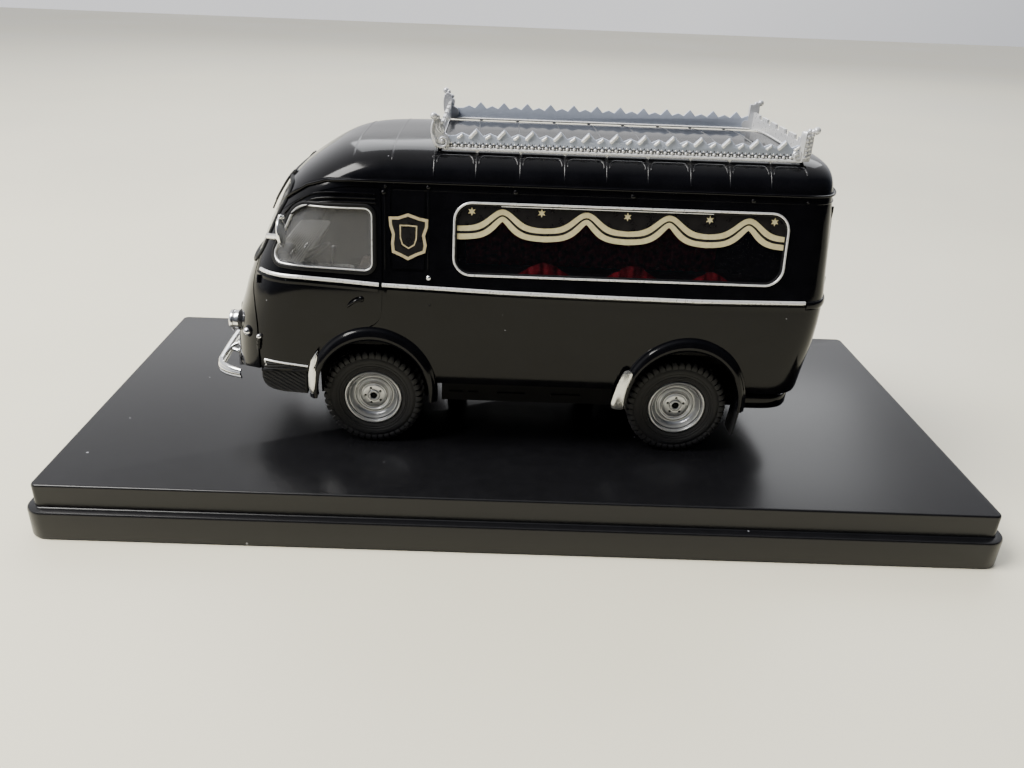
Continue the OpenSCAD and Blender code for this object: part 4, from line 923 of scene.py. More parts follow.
# front posts: leaf with a volute at the foot; rear posts: ridged pilasters; a ball leans outwards on each
def front_post(s):
    x0 = GX0 - 0.3; y0 = s*GY; parts = []
    leaf = [(-1.15, 0.05), (-1.7, 0.9), (-1.95, 1.9), (-2.0, 3.0), (-1.9, 3.8), (-1.75, 4.4), (-1.3, 4.85), (-0.75, 4.75), (-0.35, 4.45), (-0.3, 3.9), (0.1, 3.7), (0.28, 3.2), (0.2, 2.5), (0.32, 1.8), (0.35, 0.9), (0.25, 0.1)]
    P = [(x0 + a, GZ + b) for a, b in leaf]
    def layer(k, y): 
        c = np.array([x0 - 0.9, GZ + 2.3])
        return [(c[0] + (a - c[0])*k, y, c[1] + (b - c[1])*k) for a, b in P]
    n = len(P)
    V = layer(0.94, y0 - s*0.38) + layer(1.0, y0 - s*0.2) + layer(1.0, y0 + s*0.25) + layer(0.82, y0 + s*0.46) + layer(0.45, y0 + s*0.55)
    f = [tuple(range(n)), tuple(range(4*n, 5*n))[::-1]]
    for r in range(4):
        f += [(r*n + i, (r + 1)*n + i, (r + 1)*n + (i + 1) % n, r*n + (i + 1) % n) for i in range(n)]
    parts.append((V, f))
    # rope that leaves the volute and runs up the outer edge
    c = np.array([x0 - 0.15, y0, GZ + 1.25])
    sp = []
    for t in np.linspace(0, 2.6*math.pi, 54):
        r = 1.12 - 0.118*t
        a = math.radians(165) + t
        sp.append((c[0] + r*math.cos(a), c[1] + s*(0.62 + 0.012*t), c[2] + r*math.sin(a)))
    lead = smooth_line([(x0 - 1.35, y0 + s*0.35, GZ + 4.55), (x0 - 1.72, y0 + s*0.5, GZ + 3.6), (x0 - 1.75, y0 + s*0.55, GZ + 2.5), (x0 - 1.5, y0 + s*0.6, GZ + 1.9), tuple(sp[0])], 6)
    path = [tuple(p) for p in lead[:-1]] + sp
    parts.append(tube(path, 0.25, ref=(0, 1, 0), n=10, scale=np.concatenate([np.linspace(0.8, 1.1, len(lead) - 1), np.linspace(1.1, 0.62, len(sp))])))
    parts.append(revolve([(0.0005, -0.6), (1.15, -0.6), (1.2, -0.4), (1.2, 0.35), (1.05, 0.5), (0.0005, 0.52)], c, "y", 36, s))
    parts.append(ball(c + np.array([0, s*0.6, 0]), 0.4, 12, 9))
    for pts in ([(-0.1, 2.5), (-0.45, 3.3), (-0.5, 4.1)], [(-0.2, 2.4), (-0.9, 3.0), (-1.15, 3.9)], [(0.0, 2.5), (0.0, 3.0), (-0.1, 3.5)]):
        lf = smooth_line([(x0 + a, y0 + s*0.5, GZ + b) for a, b in pts], 5)
        parts.append(tube(lf, 0.16, ref=(0, 1, 0), n=8, scale=np.interp(np.linspace(0, 1, len(lf)), [0, 0.5, 1], [0.5, 1, 0.5])))
    parts.append(ball((x0 - 1.5, y0 + s*0.5, GZ + 5.05), 0.56, 16, 11, (1.05, 1, 1)))
    parts.append(ball((x0 - 0.95, y0 + s*0.2, GZ + 4.85), 0.4, 12, 9))
    parts.append(ball((x0 - 0.2, y0 + s*0.2, GZ + 4.1), 0.34, 12, 9))
    return parts
def rear_post(s):
    x0 = GX1 + 0.45; y0 = s*GY; parts = []
    sec = [(-0.95, -0.42), (-1.0, 0.3), (-0.42, 0.78), (1.02, 0.34), (0.98, -0.42)]
    lv = [(0.0, 0.92), (0.5, 0.9), (1.4, 0.98), (2.6, 1.0), (3.8, 0.96), (4.5, 0.9), (4.62, 0.8)]
    n = len(sec)
    V = []
    for i, (z, k) in enumerate(lv):
        for a, b in sec:
            V.append((x0 + a*k, y0 + s*b*k, GZ + 0.05 + z))
    f = [tuple(range(n)), tuple(range((len(lv) - 1)*n, len(lv)*n))[::-1]]
    for r in range(len(lv) - 1):
        f += [(r*n + i, (r + 1)*n + i, (r + 1)*n + (i + 1) % n, r*n + (i + 1) % n) for i in range(n)]
    parts.append((V, f))
    # beaten dimples on the broad facet, scroll at the foot, leaning ball
    for i in range(6):
        for j in range(2):
            t = 0.25 + 0.42*j + 0.12*(i % 2)
            px = x0 - 0.42 + 1.44*t; py = y0 + s*(0.78 - 0.44*t)
            parts.append(ball((px, py, GZ + 0.7 + 0.65*i + 0.2*j), 0.3, 8, 6, (1, 0.45, 1)))
    c = np.array([x0 - 1.25, y0 + s*0.15, GZ + 0.95])
    parts.append(revolve([(0.0005, -0.5), (0.78, -0.5), (0.8, 0.2), (0.68, 0.34), (0.0005, 0.36)], c, "y", 26, s))
    sp = [(c[0] + (0.72 - 0.085*t)*math.cos(math.radians(60) - t), c[1] + s*0.36, c[2] + (0.72 - 0.085*t)*math.sin(math.radians(60) - t)) for t in np.linspace(0, 2.2*math.pi, 36)]
    parts.append(tube(sp, 0.17, ref=(0, 1, 0), n=8))
    nk = smooth_line([(x0 + 0.3, y0, GZ + 4.4), (x0 + 0.75, y0 + s*0.25, GZ + 4.75), (x0 + 1.15, y0 + s*0.4, GZ + 4.9)], 5)
    parts.append(tube(nk, 0.42, ref=(0, 1, 0), n=12))
    parts.append(ball((x0 + 1.2, y0 + s*0.42, GZ + 4.9), 0.6, 16, 11))
    parts.append(ball((x0 + 0.25, y0 + s*0.1, GZ + 4.75), 0.42, 12, 9))
    return parts
P_ = sum([front_post(s) + rear_post(s) for s in (-1, 1)], [])
ob = mesh("gallery_corner_posts", *join(*P_), "silver", smooth=42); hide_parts("gallery_posts")

# ------------------------------------------------------------------ windows, frames and the printed swags
LEAN = math.atan((22.1 - 19.6)/16)
def plane_pt(x, z, s, d=0.0):
    """point of the leaning side plane at height z, moved d outwards"""
    y = 22.1 - (z - 31)*2.5/16
    return np.array([x, s*(y + d*math.cos(LEAN)), z + d*math.sin(LEAN)])
def plate_on_side(poly, s, d0, d1):
    n = len(poly)
    V = [plane_pt(x, z, s, d0) for x, z in poly] + [plane_pt(x, z, s, d1) for x, z in poly]
    f = [tuple(range(n)), tuple(range(n, 2*n))[::-1]] + [(i, n + i, n + (i + 1) % n, (i + 1) % n) for i in range(n)]
    return V, f
def dense(poly, step=0.5):
    out = []
    for i in range(len(poly)):
        a, b = np.array(poly[i]), np.array(poly[(i + 1) % len(poly)])
        k = max(1, int(np.linalg.norm(b - a)/step))
        out += [tuple(a + (b - a)*j/k) for j in range(k)]
    return out

FR = [(-0.35, 0.0), (0.14, 0.0), (0.21, 0.06), (0.24, 0.17), (0.2, 0.28), (0.1, 0.34), (-0.1, 0.35)]
fr, gk = [], []
for s in (-1, 1):
    w0 = dense(SIDE_WIN(0.0), 0.8)
    fr.append(closed_side_sweep(w0, FR, s))
    gk.append(closed_side_sweep(dense(SIDE_WIN(-0.28), 0.8), [(-0.6, 0.0), (0.02, 0.0), (0.1, 0.14), (0.02, 0.3), (-0.6, 0.3)], s))
    # extra bright line along the middle of the top edge
    fr.append(side_sweep([(x, 43.98) for x in np.linspace(-5.5, 28.5, 30)], [(-0.3, -0.09), (0.04, -0.09), (0.1, 0.0), (0.04, 0.09), (-0.3, 0.09)], s, n=40))
ob = mesh("side_window_bright_frames", *join(*fr), "foil", smooth=40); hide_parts("side_window_frames")
fr = []
for s in (-1, 1):
    fr.append(closed_side_sweep(dense(DOOR_WIN(-0.02), 0.5), [(-0.3, 0.0), (0.07, 0.0), (0.12, 0.06), (0.13, 0.14), (0.08, 0.21), (-0.2, 0.22)], s))
    gk.append(closed_side_sweep(dense(DOOR_WIN(0.18), 0.5), [(-0.3, 0.0), (0.1, 0.0), (0.18, 0.16), (0.2, 0.4), (0.12, 0.58), (0.0, 0.66), (-0.3, 0.66)], s))
ob = mesh("door_window_bright_frames", *join(*fr), "foil", smooth=40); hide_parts("door_window_frames")
# windscreen and rear window seals, following the nose and tail
def front_ring(poly, prof, tail=False):
    P, Nn = [], []
    for y, z in poly:
        fx = (lambda q, v: tail_at(q, v)) if tail else (lambda q, v: nose_at(q, v))
        x = fx(z, y); e = 0.05
        dy = (fx(z, abs(y) + e) - fx(z, max(0, abs(y) - e)))/(e + min(e, abs(y)))*np.sign(y if y else 1)
        dz = (fx(z + e, y) - fx(z - e, y))/(2*e)
        n = np.array([1, -dy, -dz]) if tail else np.array([-1, dy, dz])
        P.append((x, y, z)); Nn.append(n/np.linalg.norm(n))
    P, Nn = np.array(P), np.array(Nn)
    T = np.roll(P, -1, 0) - np.roll(P, 1, 0); T /= np.linalg.norm(T, axis=1)[:, None]
    Nn = Nn - (Nn*T).sum(1)[:, None]*T; Nn /= np.linalg.norm(Nn, axis=1)[:, None]
    B = np.cross(T, Nn); c = P.mean(0)
    if ((P - c)*B).sum() < 0: B = -B
    return sweep(P, Nn, B, prof, closed=True)
gk.append(front_ring(dense(SCREEN(0.0), 0.8), [(-0.4, -0.15), (0.05, -0.15), (0.24, 0.1), (0.28, 0.4), (0.15, 0.75), (-0.3, 0.8)]))
for s in (-1, 1):
    gk.append(front_ring(dense([(y + s*8.4, z) for y, z in REARW(0.0)], 0.8), [(-0.4, -0.12), (0.04, -0.12), (0.2, 0.1), (0.22, 0.35), (0.1, 0.6), (-0.3, 0.62)], tail=True))
ob = mesh("window_seals", *join(*gk), "gasket", smooth=45)
# centre bar of the split windscreen, in the black gasket finish
P = np.array([(nose_at(z, 0), 0, z) for z in np.linspace(31.6, 45.2, 24)])
A, B = frames(P, (-1, 0, 0))
ob = mesh("screen_centre_bar", *sweep(P, A, B, [(-0.6, -0.42), (0.1, -0.42), (0.24, -0.2), (0.24, 0.2), (0.1, 0.42), (-0.6, 0.42)]), "gasket", smooth=40)

# print on the side windows: black upper field, two pale gold bands in swags, stars
PEAKS = [-18.6, -5.25, 8.25, 21.6, 34.45, 47.6]
def band(x, base, amp, w, pw):
    return base + amp*max(math.exp(-(abs(x - p)/w)**pw) for p in PEAKS) - 0.12*math.cos(0)*0
def sag(x):
    d = min(abs(x - p) for p in PEAKS)
    return 0.16*(d/6.6)
def upper_top(x): return band(x, 40.85, 2.62, 2.85, 2.0) - sag(x)
def upper_bot(x): return band(x, 40.06, 2.55, 2.45, 1.9) - sag(x)
def lower_top(x): return band(x, 39.62, 2.72, 2.3, 1.75) - sag(x)
def lower_bot(x): return band(x, 38.72, 2.85, 1.9, 1.3) - sag(x)
inner = SIDE_WIN(-0.1)
def clip_top(x):
    """top of the window opening at x"""
    g = -0.12; r = 2.7 + g; hw = 53.5/2 + g; hh = 11.2/2 + g
    dx = abs(x - 13.95) - (hw - r)
    return 38.6 + hh - (r - math.sqrt(max(0, r*r - max(0, dx)**2)))
X0w, X1w = 13.95 - 26.75 + 0.12, 13.95 + 26.75 - 0.12
xs = np.linspace(X0w, X1w, 260)
def ribbon(top, bot, s, d0, d1):
    up_, lo_ = [], []
    for x in xs:
        t = min(top(x), clip_top(x)); b = bot(x)
        b = min(b, t - 0.02)
        up_.append((x, t)); lo_.append((x, b))
    n = len(xs)
    V = [plane_pt(x, z, s, d1) for x, z in up_] + [plane_pt(x, z, s, d1) for x, z in lo_] + [plane_pt(x, z, s, d0) for x, z in up_] + [plane_pt(x, z, s, d0) for x, z in lo_]
    f = []
    for i in range(n - 1):
        f += [(i, i + 1, n + i + 1, n + i), (2*n + i, 3*n + i, 3*n + i + 1, 2*n + i + 1), (i, 2*n + i, 2*n + i + 1, i + 1), (n + i, n + i + 1, 3*n + i + 1, 3*n + i)]
    f += [(0, n, 3*n, 2*n), (n - 1, 3*n - 1, 4*n - 1, 2*n - 1)]
    return V, f
def star(cx, cz, R, s, d0, d1):
    pts = []
    for i in range(12):
        r = R if i % 2 == 0 else R*0.46
        a = math.radians(90 + 30*i)
        pts.append((cx + r*math.cos(a), cz + r*math.sin(a)))
    return plate_on_side(pts, s, d0, d1)
GLO = -0.2   # the glass's outer face lies this far inside the wall plane
mask, gold = [], []
for s in (-1, 1):
    mask.append(ribbon(lambda x: 99, lambda x: lower_bot(x) + 0.1, s, GLO + 0.005, GLO + 0.03))
    gold.append(ribbon(upper_top, upper_bot, s, GLO + 0.03, GLO + 0.065))
    gold.append(ribbon(lower_top, lower_bot, s, GLO + 0.03, GLO + 0.065))
    for cx, cz in ((-10.2, 43.0), (1.0, 43.1), (14.8, 43.0), (28.05, 43.0), (38.5, 43.05)):
        gold.append(star(cx, cz, 0.68, s, GLO + 0.03, GLO + 0.065))
ob = mesh("swag_field_black", *join(*mask), "mask", smooth=20)
ob = mesh("swags_and_stars_gold", *join(*gold), "gold", smooth=20)

# shield behind the cab door: black plate, gold outline, a smaller bare gold-edged shield within
def outline_band(poly, w):
    p = np.array(poly); c = p.mean(0)
    n = len(p); inn = []
    for i in range(n):
        a, b, q = p[i - 1], p[i], p[(i + 1) % n]
        e1 = (b - a)/np.linalg.norm(b - a); e2 = (q - b)/np.linalg.norm(q - b)
        n1 = np.array([-e1[1], e1[0]]); n2 = np.array([-e2[1], e2[0]])
        m = n1 + n2; m /= np.linalg.norm(m)
        k = w/max(0.4, m @ n1)
        sgn = 1 if ((c - b) @ m) > 0 else -1
        inn.append(b + m*k*sgn)
    return np.array(inn)
def band_plate(poly, w, s, d0, d1):
    inn = outline_band(poly, w); n = len(poly)
    V = [plane_pt(x, z, s, d1) for x, z in poly] + [plane_pt(x, z, s, d1) for x, z in inn] + [plane_pt(x, z, s, d0) for x, z in poly] + [plane_pt(x, z, s, d0) for x, z in inn]
    f = []
    for i in range(n):
        j = (i + 1) % n
        f += [(i, j, n + j, n + i), (2*n + i, 3*n + i, 3*n + j, 2*n + j), (i, 2*n + i, 2*n + j, j), (n + i, n + j, 3*n + j, 3*n + i)]
    return V, f
SH = [(-23.5, 41.75), (-22.0, 41.8), (-20.4, 42.35), (-18.6, 41.75), (-17.15, 41.5), (-17.2, 40.2), (-17.65, 38.9), (-17.35, 37.4), (-17.6, 36.2), (-18.8, 35.75), (-20.35, 34.95), (-21.7, 35.6), (-22.95, 36.1), (-23.1, 37.6), (-22.95, 39.0), (-23.4, 40.4)]
SI = [(-21.75, 40.55), (-20.3, 40.55), (-18.9, 40.45), (-18.95, 38.4), (-19.3, 37.35), (-20.3, 36.75), (-21.35, 37.4), (-21.7, 38.4)]
gl, bl = [], []
for s in (-1, 1):
    bl.append(plate_on_side([tuple(q) for q in outline_band(SH, 0.1)], s, -0.12, 0.1))
    gl.append(band_plate(SH, 0.46, s, 0.06, 0.16))
    gl.append(band_plate(SI, 0.2, s, 0.06, 0.14))
ob = mesh("shield_gold_edges", *join(*gl), "golddark", smooth=25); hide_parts("crest_plates")
ob = mesh("shield_black_fields", *join(*bl), "mask", smooth=25)

# bright belt strips
bp_ = [(-0.1, -0.3), (0.2, -0.3), (0.34, -0.18), (0.38, 0.0), (0.34, 0.18), (0.2, 0.3), (-0.1, 0.3)]
bs = []
for s in (-1, 1):
    bs.append(side_sweep([(x, belt_z(x)) for x in np.linspace(-45.2, -25.15, 60)], bp_, s, n=90))
    bs.append(side_sweep([(x, belt_z(x)) for x in np.linspace(-24.6, 45.2, 90)], bp_, s, n=110))
ob = mesh("belt_strips_bright", *join(*bs), "foil", smooth=40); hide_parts("belt_mouldings")

# ------------------------------------------------------------------ bumper, lamps, steps, guards, mirrors, wipers, handles
def bar_path(d=0.0):
    ys = np.linspace(-13, 13, 27)
    mid = [(-56.2 + 0.5*(y/13)**2, y) for y in ys]
    e = [(-55.05, 14.75), (-54.0, 15.85), (-52.5, 16.9), (-50.75, 17.65)]
    pts = [(x, -y) for x, y in e[::-1]] + mid + e
    return smooth_line([(x, y, 11.65) for x, y in pts], 3)
bp0 = bar_path()
T = np.gradient(bp0, axis=0); T /= np.linalg.norm(T, axis=1)[:, None]
A = np.cross(T, np.array([0, 0, 1.0])); A /= np.linalg.norm(A, axis=1)[:, None]
if A[len(A)//2][0] > 0: A = -A
Bz = np.repeat([[0, 0, 1.0]], len(bp0), 0)
sc = np.ones(len(bp0)); sc[:7] = np.linspace(0.78, 1, 7); sc[-7:] = np.linspace(1, 0.78, 7)
blade = sweep(bp0, A, Bz, [(-0.4, 1.02), (-0.12, 1.15), (0.12, 1.08), (0.3, 0.86), (0.36, 0.62), (0.27, 0.5), (0.34, 0.4), (0.48, 0.16), (0.5, 0.0), (0.48, -0.16), (0.34, -0.4), (0.27, -0.5), (0.36, -0.62), (0.3, -0.86), (0.12, -1.08), (-0.12, -1.15), (-0.4, -1.02), (-0.2, -0.8), (-0.02, -0.4), (-0.02, 0.4), (-0.2, 0.8)], scale=sc)
arms = []
for s in (-1, 1):
    arms.append(tube(smooth_line([(-55.75, s*7.9, 12.2), (-55.0, s*8.4, 12.5), (-54.0, s*9.0, 12.4), (-52.9, s*9.3, 12.3)], 5), 0.36, n=10))
    arms.append(tube(smooth_line([(-55.5, s*10.6, 12.1), (-54.9, s*10.4, 13.0), (-53.9, s*10.0, 13.9), (-52.7, s*9.7, 14.3)], 5), 0.3, n=10))
    arms.append(ball((-53.3, s*9.1, 12.35), 0.5, 12, 8, (0.8, 1, 1)))
    arms.append(ball((-52.95, s*9.75, 14.25), 0.45, 12, 8, (0.8, 1, 1)))
ob = mesh("front_bumper_blade", *join(blade, *arms), "chrome", smooth=38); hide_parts("front_bumper")

rings_, lenses, bowls, buckets = [], [], [], []
for s in (-1, 1):
    c = (nose_at(20.5, 14.0), s*14.0, 20.5)
    rings_.append(revolve([(1.2, 1.2), (1.36, 1.48), (1.55, 1.55), (1.76, 1.42), (1.86, 1.2), (1.86, 0.95), (1.74, 0.82), (1.8, 0.7), (1.72, 0.5), (1.6, 0.4), (1.55, -0.4), (1.2, -0.4)], c, "x", 44, -1))
    lenses.append(revolve([(0.0005, 1.98), (0.45, 1.94), (0.85, 1.82), (1.15, 1.62), (1.3, 1.44), (1.3, 1.3), (0.0005, 1.36)], c, "x", 36, -1))
    bowls.append(revolve([(0.0005, 0.2), (0.6, 0.3), (1.0, 0.65), (1.22, 1.15), (1.28, 1.15), (1.3, 0.0), (0.0005, 0.0)], c, "x", 36, -1))
    rings_.append(revolve([(1.3, 0.6), (1.74, 0.6), (1.8, 0.3), (1.82, -0.1), (1.84, -0.5), (1.3, -0.5)], c, "x", 44, -1))
    buckets.append(revolve([(1.35, -0.1), (1.9, -0.1), (2.05, -0.35), (2.3, -0.8), (2.6, -1.4), (2.6, -1.7), (1.35, -1.7)], (c[0], c[1], c[2]), "x", 40, -1))
ob = mesh("headlamp_rims", *join(*rings_), "chrome", smooth=34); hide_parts("headlamps")
ob = mesh("headlamp_lenses", *join(*lenses), "lens", smooth=50)
ob = mesh("headlamp_bowls", *join(*bowls), "silver", smooth=50)
ob = mesh("headlamp_fairings", *join(*buckets), "paint", smooth=60)

dm, bs = [], []
for s in (-1, 1):
    R = rotz(-45*s)
    t = (-48.02, s*19.38, 20.7)
    dm.append(place(revolve([(0.0005, 1.05), (0.25, 1.0), (0.48, 0.86), (0.66, 0.62), (0.74, 0.38), (0.74, 0.2), (0.0005, 0.2)], (0, 0, 0), "x", 26, -1), R, t))
    bs.append(place(revolve([(0.0005, 0.42), (0.8, 0.4), (0.98, 0.28), (1.06, 0.0), (1.08, -0.4), (0.0005, -0.4)], (0, 0, 0), "x", 28, -1), R, t))
ob = mesh("side_lamp_domes", *join(*dm), "chrome", smooth=50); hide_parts("side_lamps")
ob = mesh("side_lamp_bases", *join(*bs), "paint", smooth=40)

# hinges of the cab doors: black barrels with bright heads
hb, hs = [], []
for s in (-1, 1):
    for z0, z1, xa, xb in ((18.3, 20.5, -46.05, -45.75), (29.4, 30.6, -45.6, -45.5)):
        a, n1 = on_side(xa, z0, s); b, n2 = on_side(xb, z1, s)
        P = np.array([a + n1*0.12, (a + b)/2 + n1*0.2, b + n2*0.14])
        hb.append(tube(P, 0.36, ref=(1, 0, 0), n=10))
        if z0 < 25:
            hs.append(ball(b + n2*0.2, 0.46, 12, 9))
            hb.append(ball(a + n1*0.16, 0.34, 10, 8))
            for t in (0.3, 0.62):
                q = a + (b - a)*t + n1*0.18
                hb.append(place(revolve([(0.2, -0.09), (0.42, -0.09), (0.42, 0.09), (0.2, 0.09)], (0, 0, 0), "z", 14, 1), np.eye(3), q))
ob = mesh("door_hinge_barrels", *join(*hb), "paint", smooth=50)
ob = mesh("door_hinge_heads", *join(*hs), "chrome", smooth=50)

# steps below the cab doors: tread block and the ribbed panel above it
STEP = [(-38.05, 14.38), (-45.88, 14.38), (-45.95, 13.0), (-45.72, 12.1), (-45.15, 11.25), (-44.1, 10.68), (-42.2, 10.25), (-38.25, 10.02)]
def inside(p, poly):
    c = False
    for i in range(len(poly)):
        (x1, y1), (x2, y2) = poly[i - 1], poly[i]
        if (y1 > p[1]) != (y2 > p[1]) and p[0] < (x2 - x1)*(p[1] - y1)/(y2 - y1) + x1: c = not c
    return c
def hatch(poly, slope, pitch):
    p = np.array(poly); out = []
    d = np.array([1, slope]); d = d/np.linalg.norm(d); n = np.array([-d[1], d[0]])
    k = p @ n
    for t in np.arange(k.min() + pitch*0.5, k.max(), pitch):
        s0 = (p @ d).min()
        L = np.arange(s0, (p @ d).max(), 0.08)
        ins = [q for q in L if inside(n*t + d*q, poly)]
        if len(ins) > 6:
            out.append((n*t + d*ins[0], n*t + d*ins[-1]))
    return out
sb, sr = [], []
for s in (-1, 1):
    n = len(STEP)
    cx = np.mean([p[0] for p in STEP]); cz = np.mean([p[1] for p in STEP])
    def ringp(k, y): return [(cx + (x - cx)*k, s*y, cz + (z - cz)*k) for x, z in STEP]
    V = ringp(1, 17.6) + ringp(1, 21.25) + ringp(0.97, 21.4)
    f = [tuple(range(n)), tuple(range(2*n, 3*n))[::-1]]
    for r in range(2):
        f += [(r*n + i, (r + 1)*n + i, (r + 1)*n + (i + 1) % n, r*n + (i + 1) % n) for i in range(n)]
    sb.append((V, f))
    shrink = [(cx + (x - cx)*0.93, cz + (z - cz)*0.9) for x, z in STEP]
    for a, b in hatch(shrink, -0.62, 0.62):
        P = np.array([(a[0], s*21.38, a[1]), (b[0], s*21.38, b[1])])
        Af = np.repeat([[0, float(s), 0]], 2, 0); T = (P[1] - P[0])/np.linalg.norm(P[1] - P[0])
        Bf = np.repeat([np.cross(T, Af[0])], 2, 0)
        sr.append(sweep(P, Af, Bf, [(-0.1, -0.2), (0.08, -0.16), (0.17, 0), (0.08, 0.16), (-0.1, 0.2)]))
    up_poly = [(-45.1, 16.1), (-37.9, 15.2), (-38.1, 14.55), (-45.6, 14.55)]
    for a, b in hatch(up_poly, 0.1, 0.5):
        sr.append(side_sweep([tuple(a), tuple(b)], [(-0.1, -0.18), (0.1, -0.14), (0.2, 0), (0.1, 0.14), (-0.1, 0.18)], s, n=14))
    # top lip of the tread
    sr.append(sweep(np.array([(-45.9, s*21.3, 14.35), (-38.1, s*21.3, 14.35)]), np.repeat([[0, float(s), 0]], 2, 0), np.repeat([[0, 0, 1.0]], 2, 0), [(-0.3, -0.2), (0.2, -0.2), (0.28, 0), (0.2, 0.16), (-0.3, 0.16)]))
ob = mesh("cab_step_blocks", *join(*sb), "rubber", smooth=30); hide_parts("cab_steps")
ob = mesh("cab_step_ribs", *join(*sr), "moulded", smooth=40)
tr = []
for s in (-1, 1):
    tr.append(side_sweep([(-45.25, 16.33), (-37.8, 15.42)], half_round(0.34, 0.2, 5), s, n=24))
    tr.append(side_sweep([(-45.3, 16.3), (-45.05, 15.0)], half_round(0.26, 0.12, 4), s, n=8))
ob = mesh("step_trim_lines", *join(*tr), "foil", smooth=40)

def dome_plate(poly, s, y0, y1, y2, k=0.6):
    p = np.array(poly); n = len(p); inn = outline_band([tuple(q) for q in poly], k)
    V = [(a, s*y0, b) for a, b in p] + [(a, s*y1, b) for a, b in p] + [(a, s*y2, b) for a, b in inn]
    f = [tuple(range(n)), tuple(range(2*n, 3*n))[::-1]]
    for r in range(2):
        f += [(r*n + i, (r + 1)*n + i, (r + 1)*n + (i + 1) % n, r*n + (i + 1) % n) for i in range(n)]
    return V, f
FG = [(-35.72, 18.95), (-36.45, 17.9), (-36.96, 17.0), (-37.28, 15.7), (-37.55, 14.4), (-37.65, 13.2), (-37.62, 12.0), (-37.45, 11.1), (-37.15, 10.72), (-36.85, 10.72), (-36.65, 11.1), (-36.42, 12.2), (-36.28, 13.4), (-36.24, 14.5), (-36.42, 15.6), (-36.4, 16.6), (-36.1, 17.6), (-35.7, 18.5)]
RG = [(17.75, 16.95), (17.15, 17.15), (16.6, 16.85), (16.15, 15.9), (15.6, 14.2), (15.15, 12.4), (14.85, 10.8), (14.95, 10.0), (15.5, 9.72), (16.4, 9.62), (17.0, 9.75), (17.15, 10.3), (17.15, 11.9), (17.4, 13.6), (17.9, 15.4), (18.0, 16.4)]
gd = []
for s in (-1, 1):
    gd.append(dome_plate(FG, s, 22.66, 22.84, 22.99, 0.22))
    gd.append(dome_plate(RG, s, 22.55, 22.8, 22.99, 0.34))
ob = mesh("stone_guard_shields", *join(*gd), "guard", smooth=50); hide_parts("stone_guards")

# oval mirrors on long arms from the screen pillars
mp, ms = [], []
for s in (-1, 1):
    R = roty(-4)
    c = np.array([-40.62, s*22.05, 39.05])
    mp.append(place(revolve([(0.0005, -0.34), (1.5, -0.33), (2.1, -0.26), (2.42, -0.06), (2.5, 0.1), (2.46, 0.24), (2.3, 0.27), (2.18, 0.2), (0.0005, 0.18)], (0, 0, 0), "x", 40, 1), R @ np.diag([1, 0.88, 1.0]), c))
    ms.append(place(revolve([(0.0005, 0.17), (2.16, 0.17), (2.16, 0.23), (0.0005, 0.23)], (0, 0, 0), "x", 40, 1), R @ np.diag([1, 0.88, 1.0]), c))
    st = smooth_line([(-44.05, s*16.1, 36.55), (-43.0, s*18.2, 37.12), (-41.9, s*20.2, 37.7), (-41.05, s*21.8, 38.2)], 5)
    mp.append(tube(st, 0.52, n=16, scale=np.interp(np.linspace(0, 1, len(st)), [0, 0.2, 0.9, 1], [1.1, 1.0, 1.0, 0.85])))
    mp.append(ball(c + np.array([-0.3, s*0.1, -0.85]), 0.62, 14, 10, (0.7, 1, 1)))
    mp.append(ball(c + np.array([0.15, 0, 2.42]), 0.4, 12, 9)); mp.append(ball(c + np.array([0.5, -s*0.3, 2.3]), 0.3, 12, 9))
ob = mesh("mirror_heads", *join(*mp), "chrome", smooth=45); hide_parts("mirrors")
ob = mesh("mirror_faces", *join(*ms), "mirror", smooth=45)

# wipers hung from above the screen
wp = []
for s in (-1, 1):
    x0 = nose_at(45.9, 8.3)
    wp.append(place(revolve([(0.0005, 0.5), (0.25, 0.47), (0.36, 0.32), (0.4, -0.25), (0.0005, -0.25)], (0, 0, 0), "x", 18, -1), roty(-40), (x0 - 0.05, s*8.3, 45.85)))
    arm = [(nose_at(z, 8.3 + 0.09*(45.9 - z)) - 0.34, s*(8.3 + 0.09*(45.9 - z)), z) for z in np.linspace(45.95, 41.0, 14)]
    wp.append(tube(arm, 0.17, ref=(0, 1, 0), n=8, scale=np.linspace(1.5, 0.8, 14)))
    bl = [(nose_at(z, 8.9) - 0.24, s*(8.9 - 0.06*(44.4 - z)), z) for z in np.linspace(44.4, 39.4, 12)]
    A2, B2 = frames(np.array(bl), (-1, 0, 0))
    wp.append(sweep(bl, A2, B2, [(-0.14, -0.06), (0.05, -0.11), (0.14, -0.08), (0.14, 0.08), (0.05, 0.11), (-0.14, 0.06)]))
ob = mesh("wiper_arms_and_blades", *join(*wp), "moulded", smooth=45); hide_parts("wipers")

# door handles, filler pins, tail fittings
dh, fp = [], []
for s in (-1, 1):
    a, n1 = on_side(-28.9, 28.1, s)
    P = [on_side(x, z, s, o)[0] for x, z, o in ((-30.4, 26.9, 0.35), (-29.7, 27.6, 0.55), (-28.9, 28.1, 0.6), (-28.0, 28.3, 0.35))]
    st = smooth_line([tuple(p) for p in P], 5)
    dh.append(tube(st, 0.26, n=10, scale=np.interp(np.linspace(0, 1, len(st)), [0, 0.2, 0.8, 1], [0.6, 1, 1.1, 0.9])))
    for x, z in ((-28.1, 28.25),):
        b, n2 = on_side(x, z, s)
        dh.append(ball(b + n2*0.1, 0.5, 14, 8, (1, 0.6, 1)))
    b, n2 = on_side(-17.0, 32.2, s); fp.append(ball(b + n2*0.12, 0.42, 14, 9, (1, 0.8, 1)))
    b, n2 = on_side(-16.8, 27.6, s); dh.append(ball(b + n2*0.03, 0.16, 10, 6))
ob = mesh("door_grab_handles", *join(*dh), "paint", smooth=50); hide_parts("door_handles")
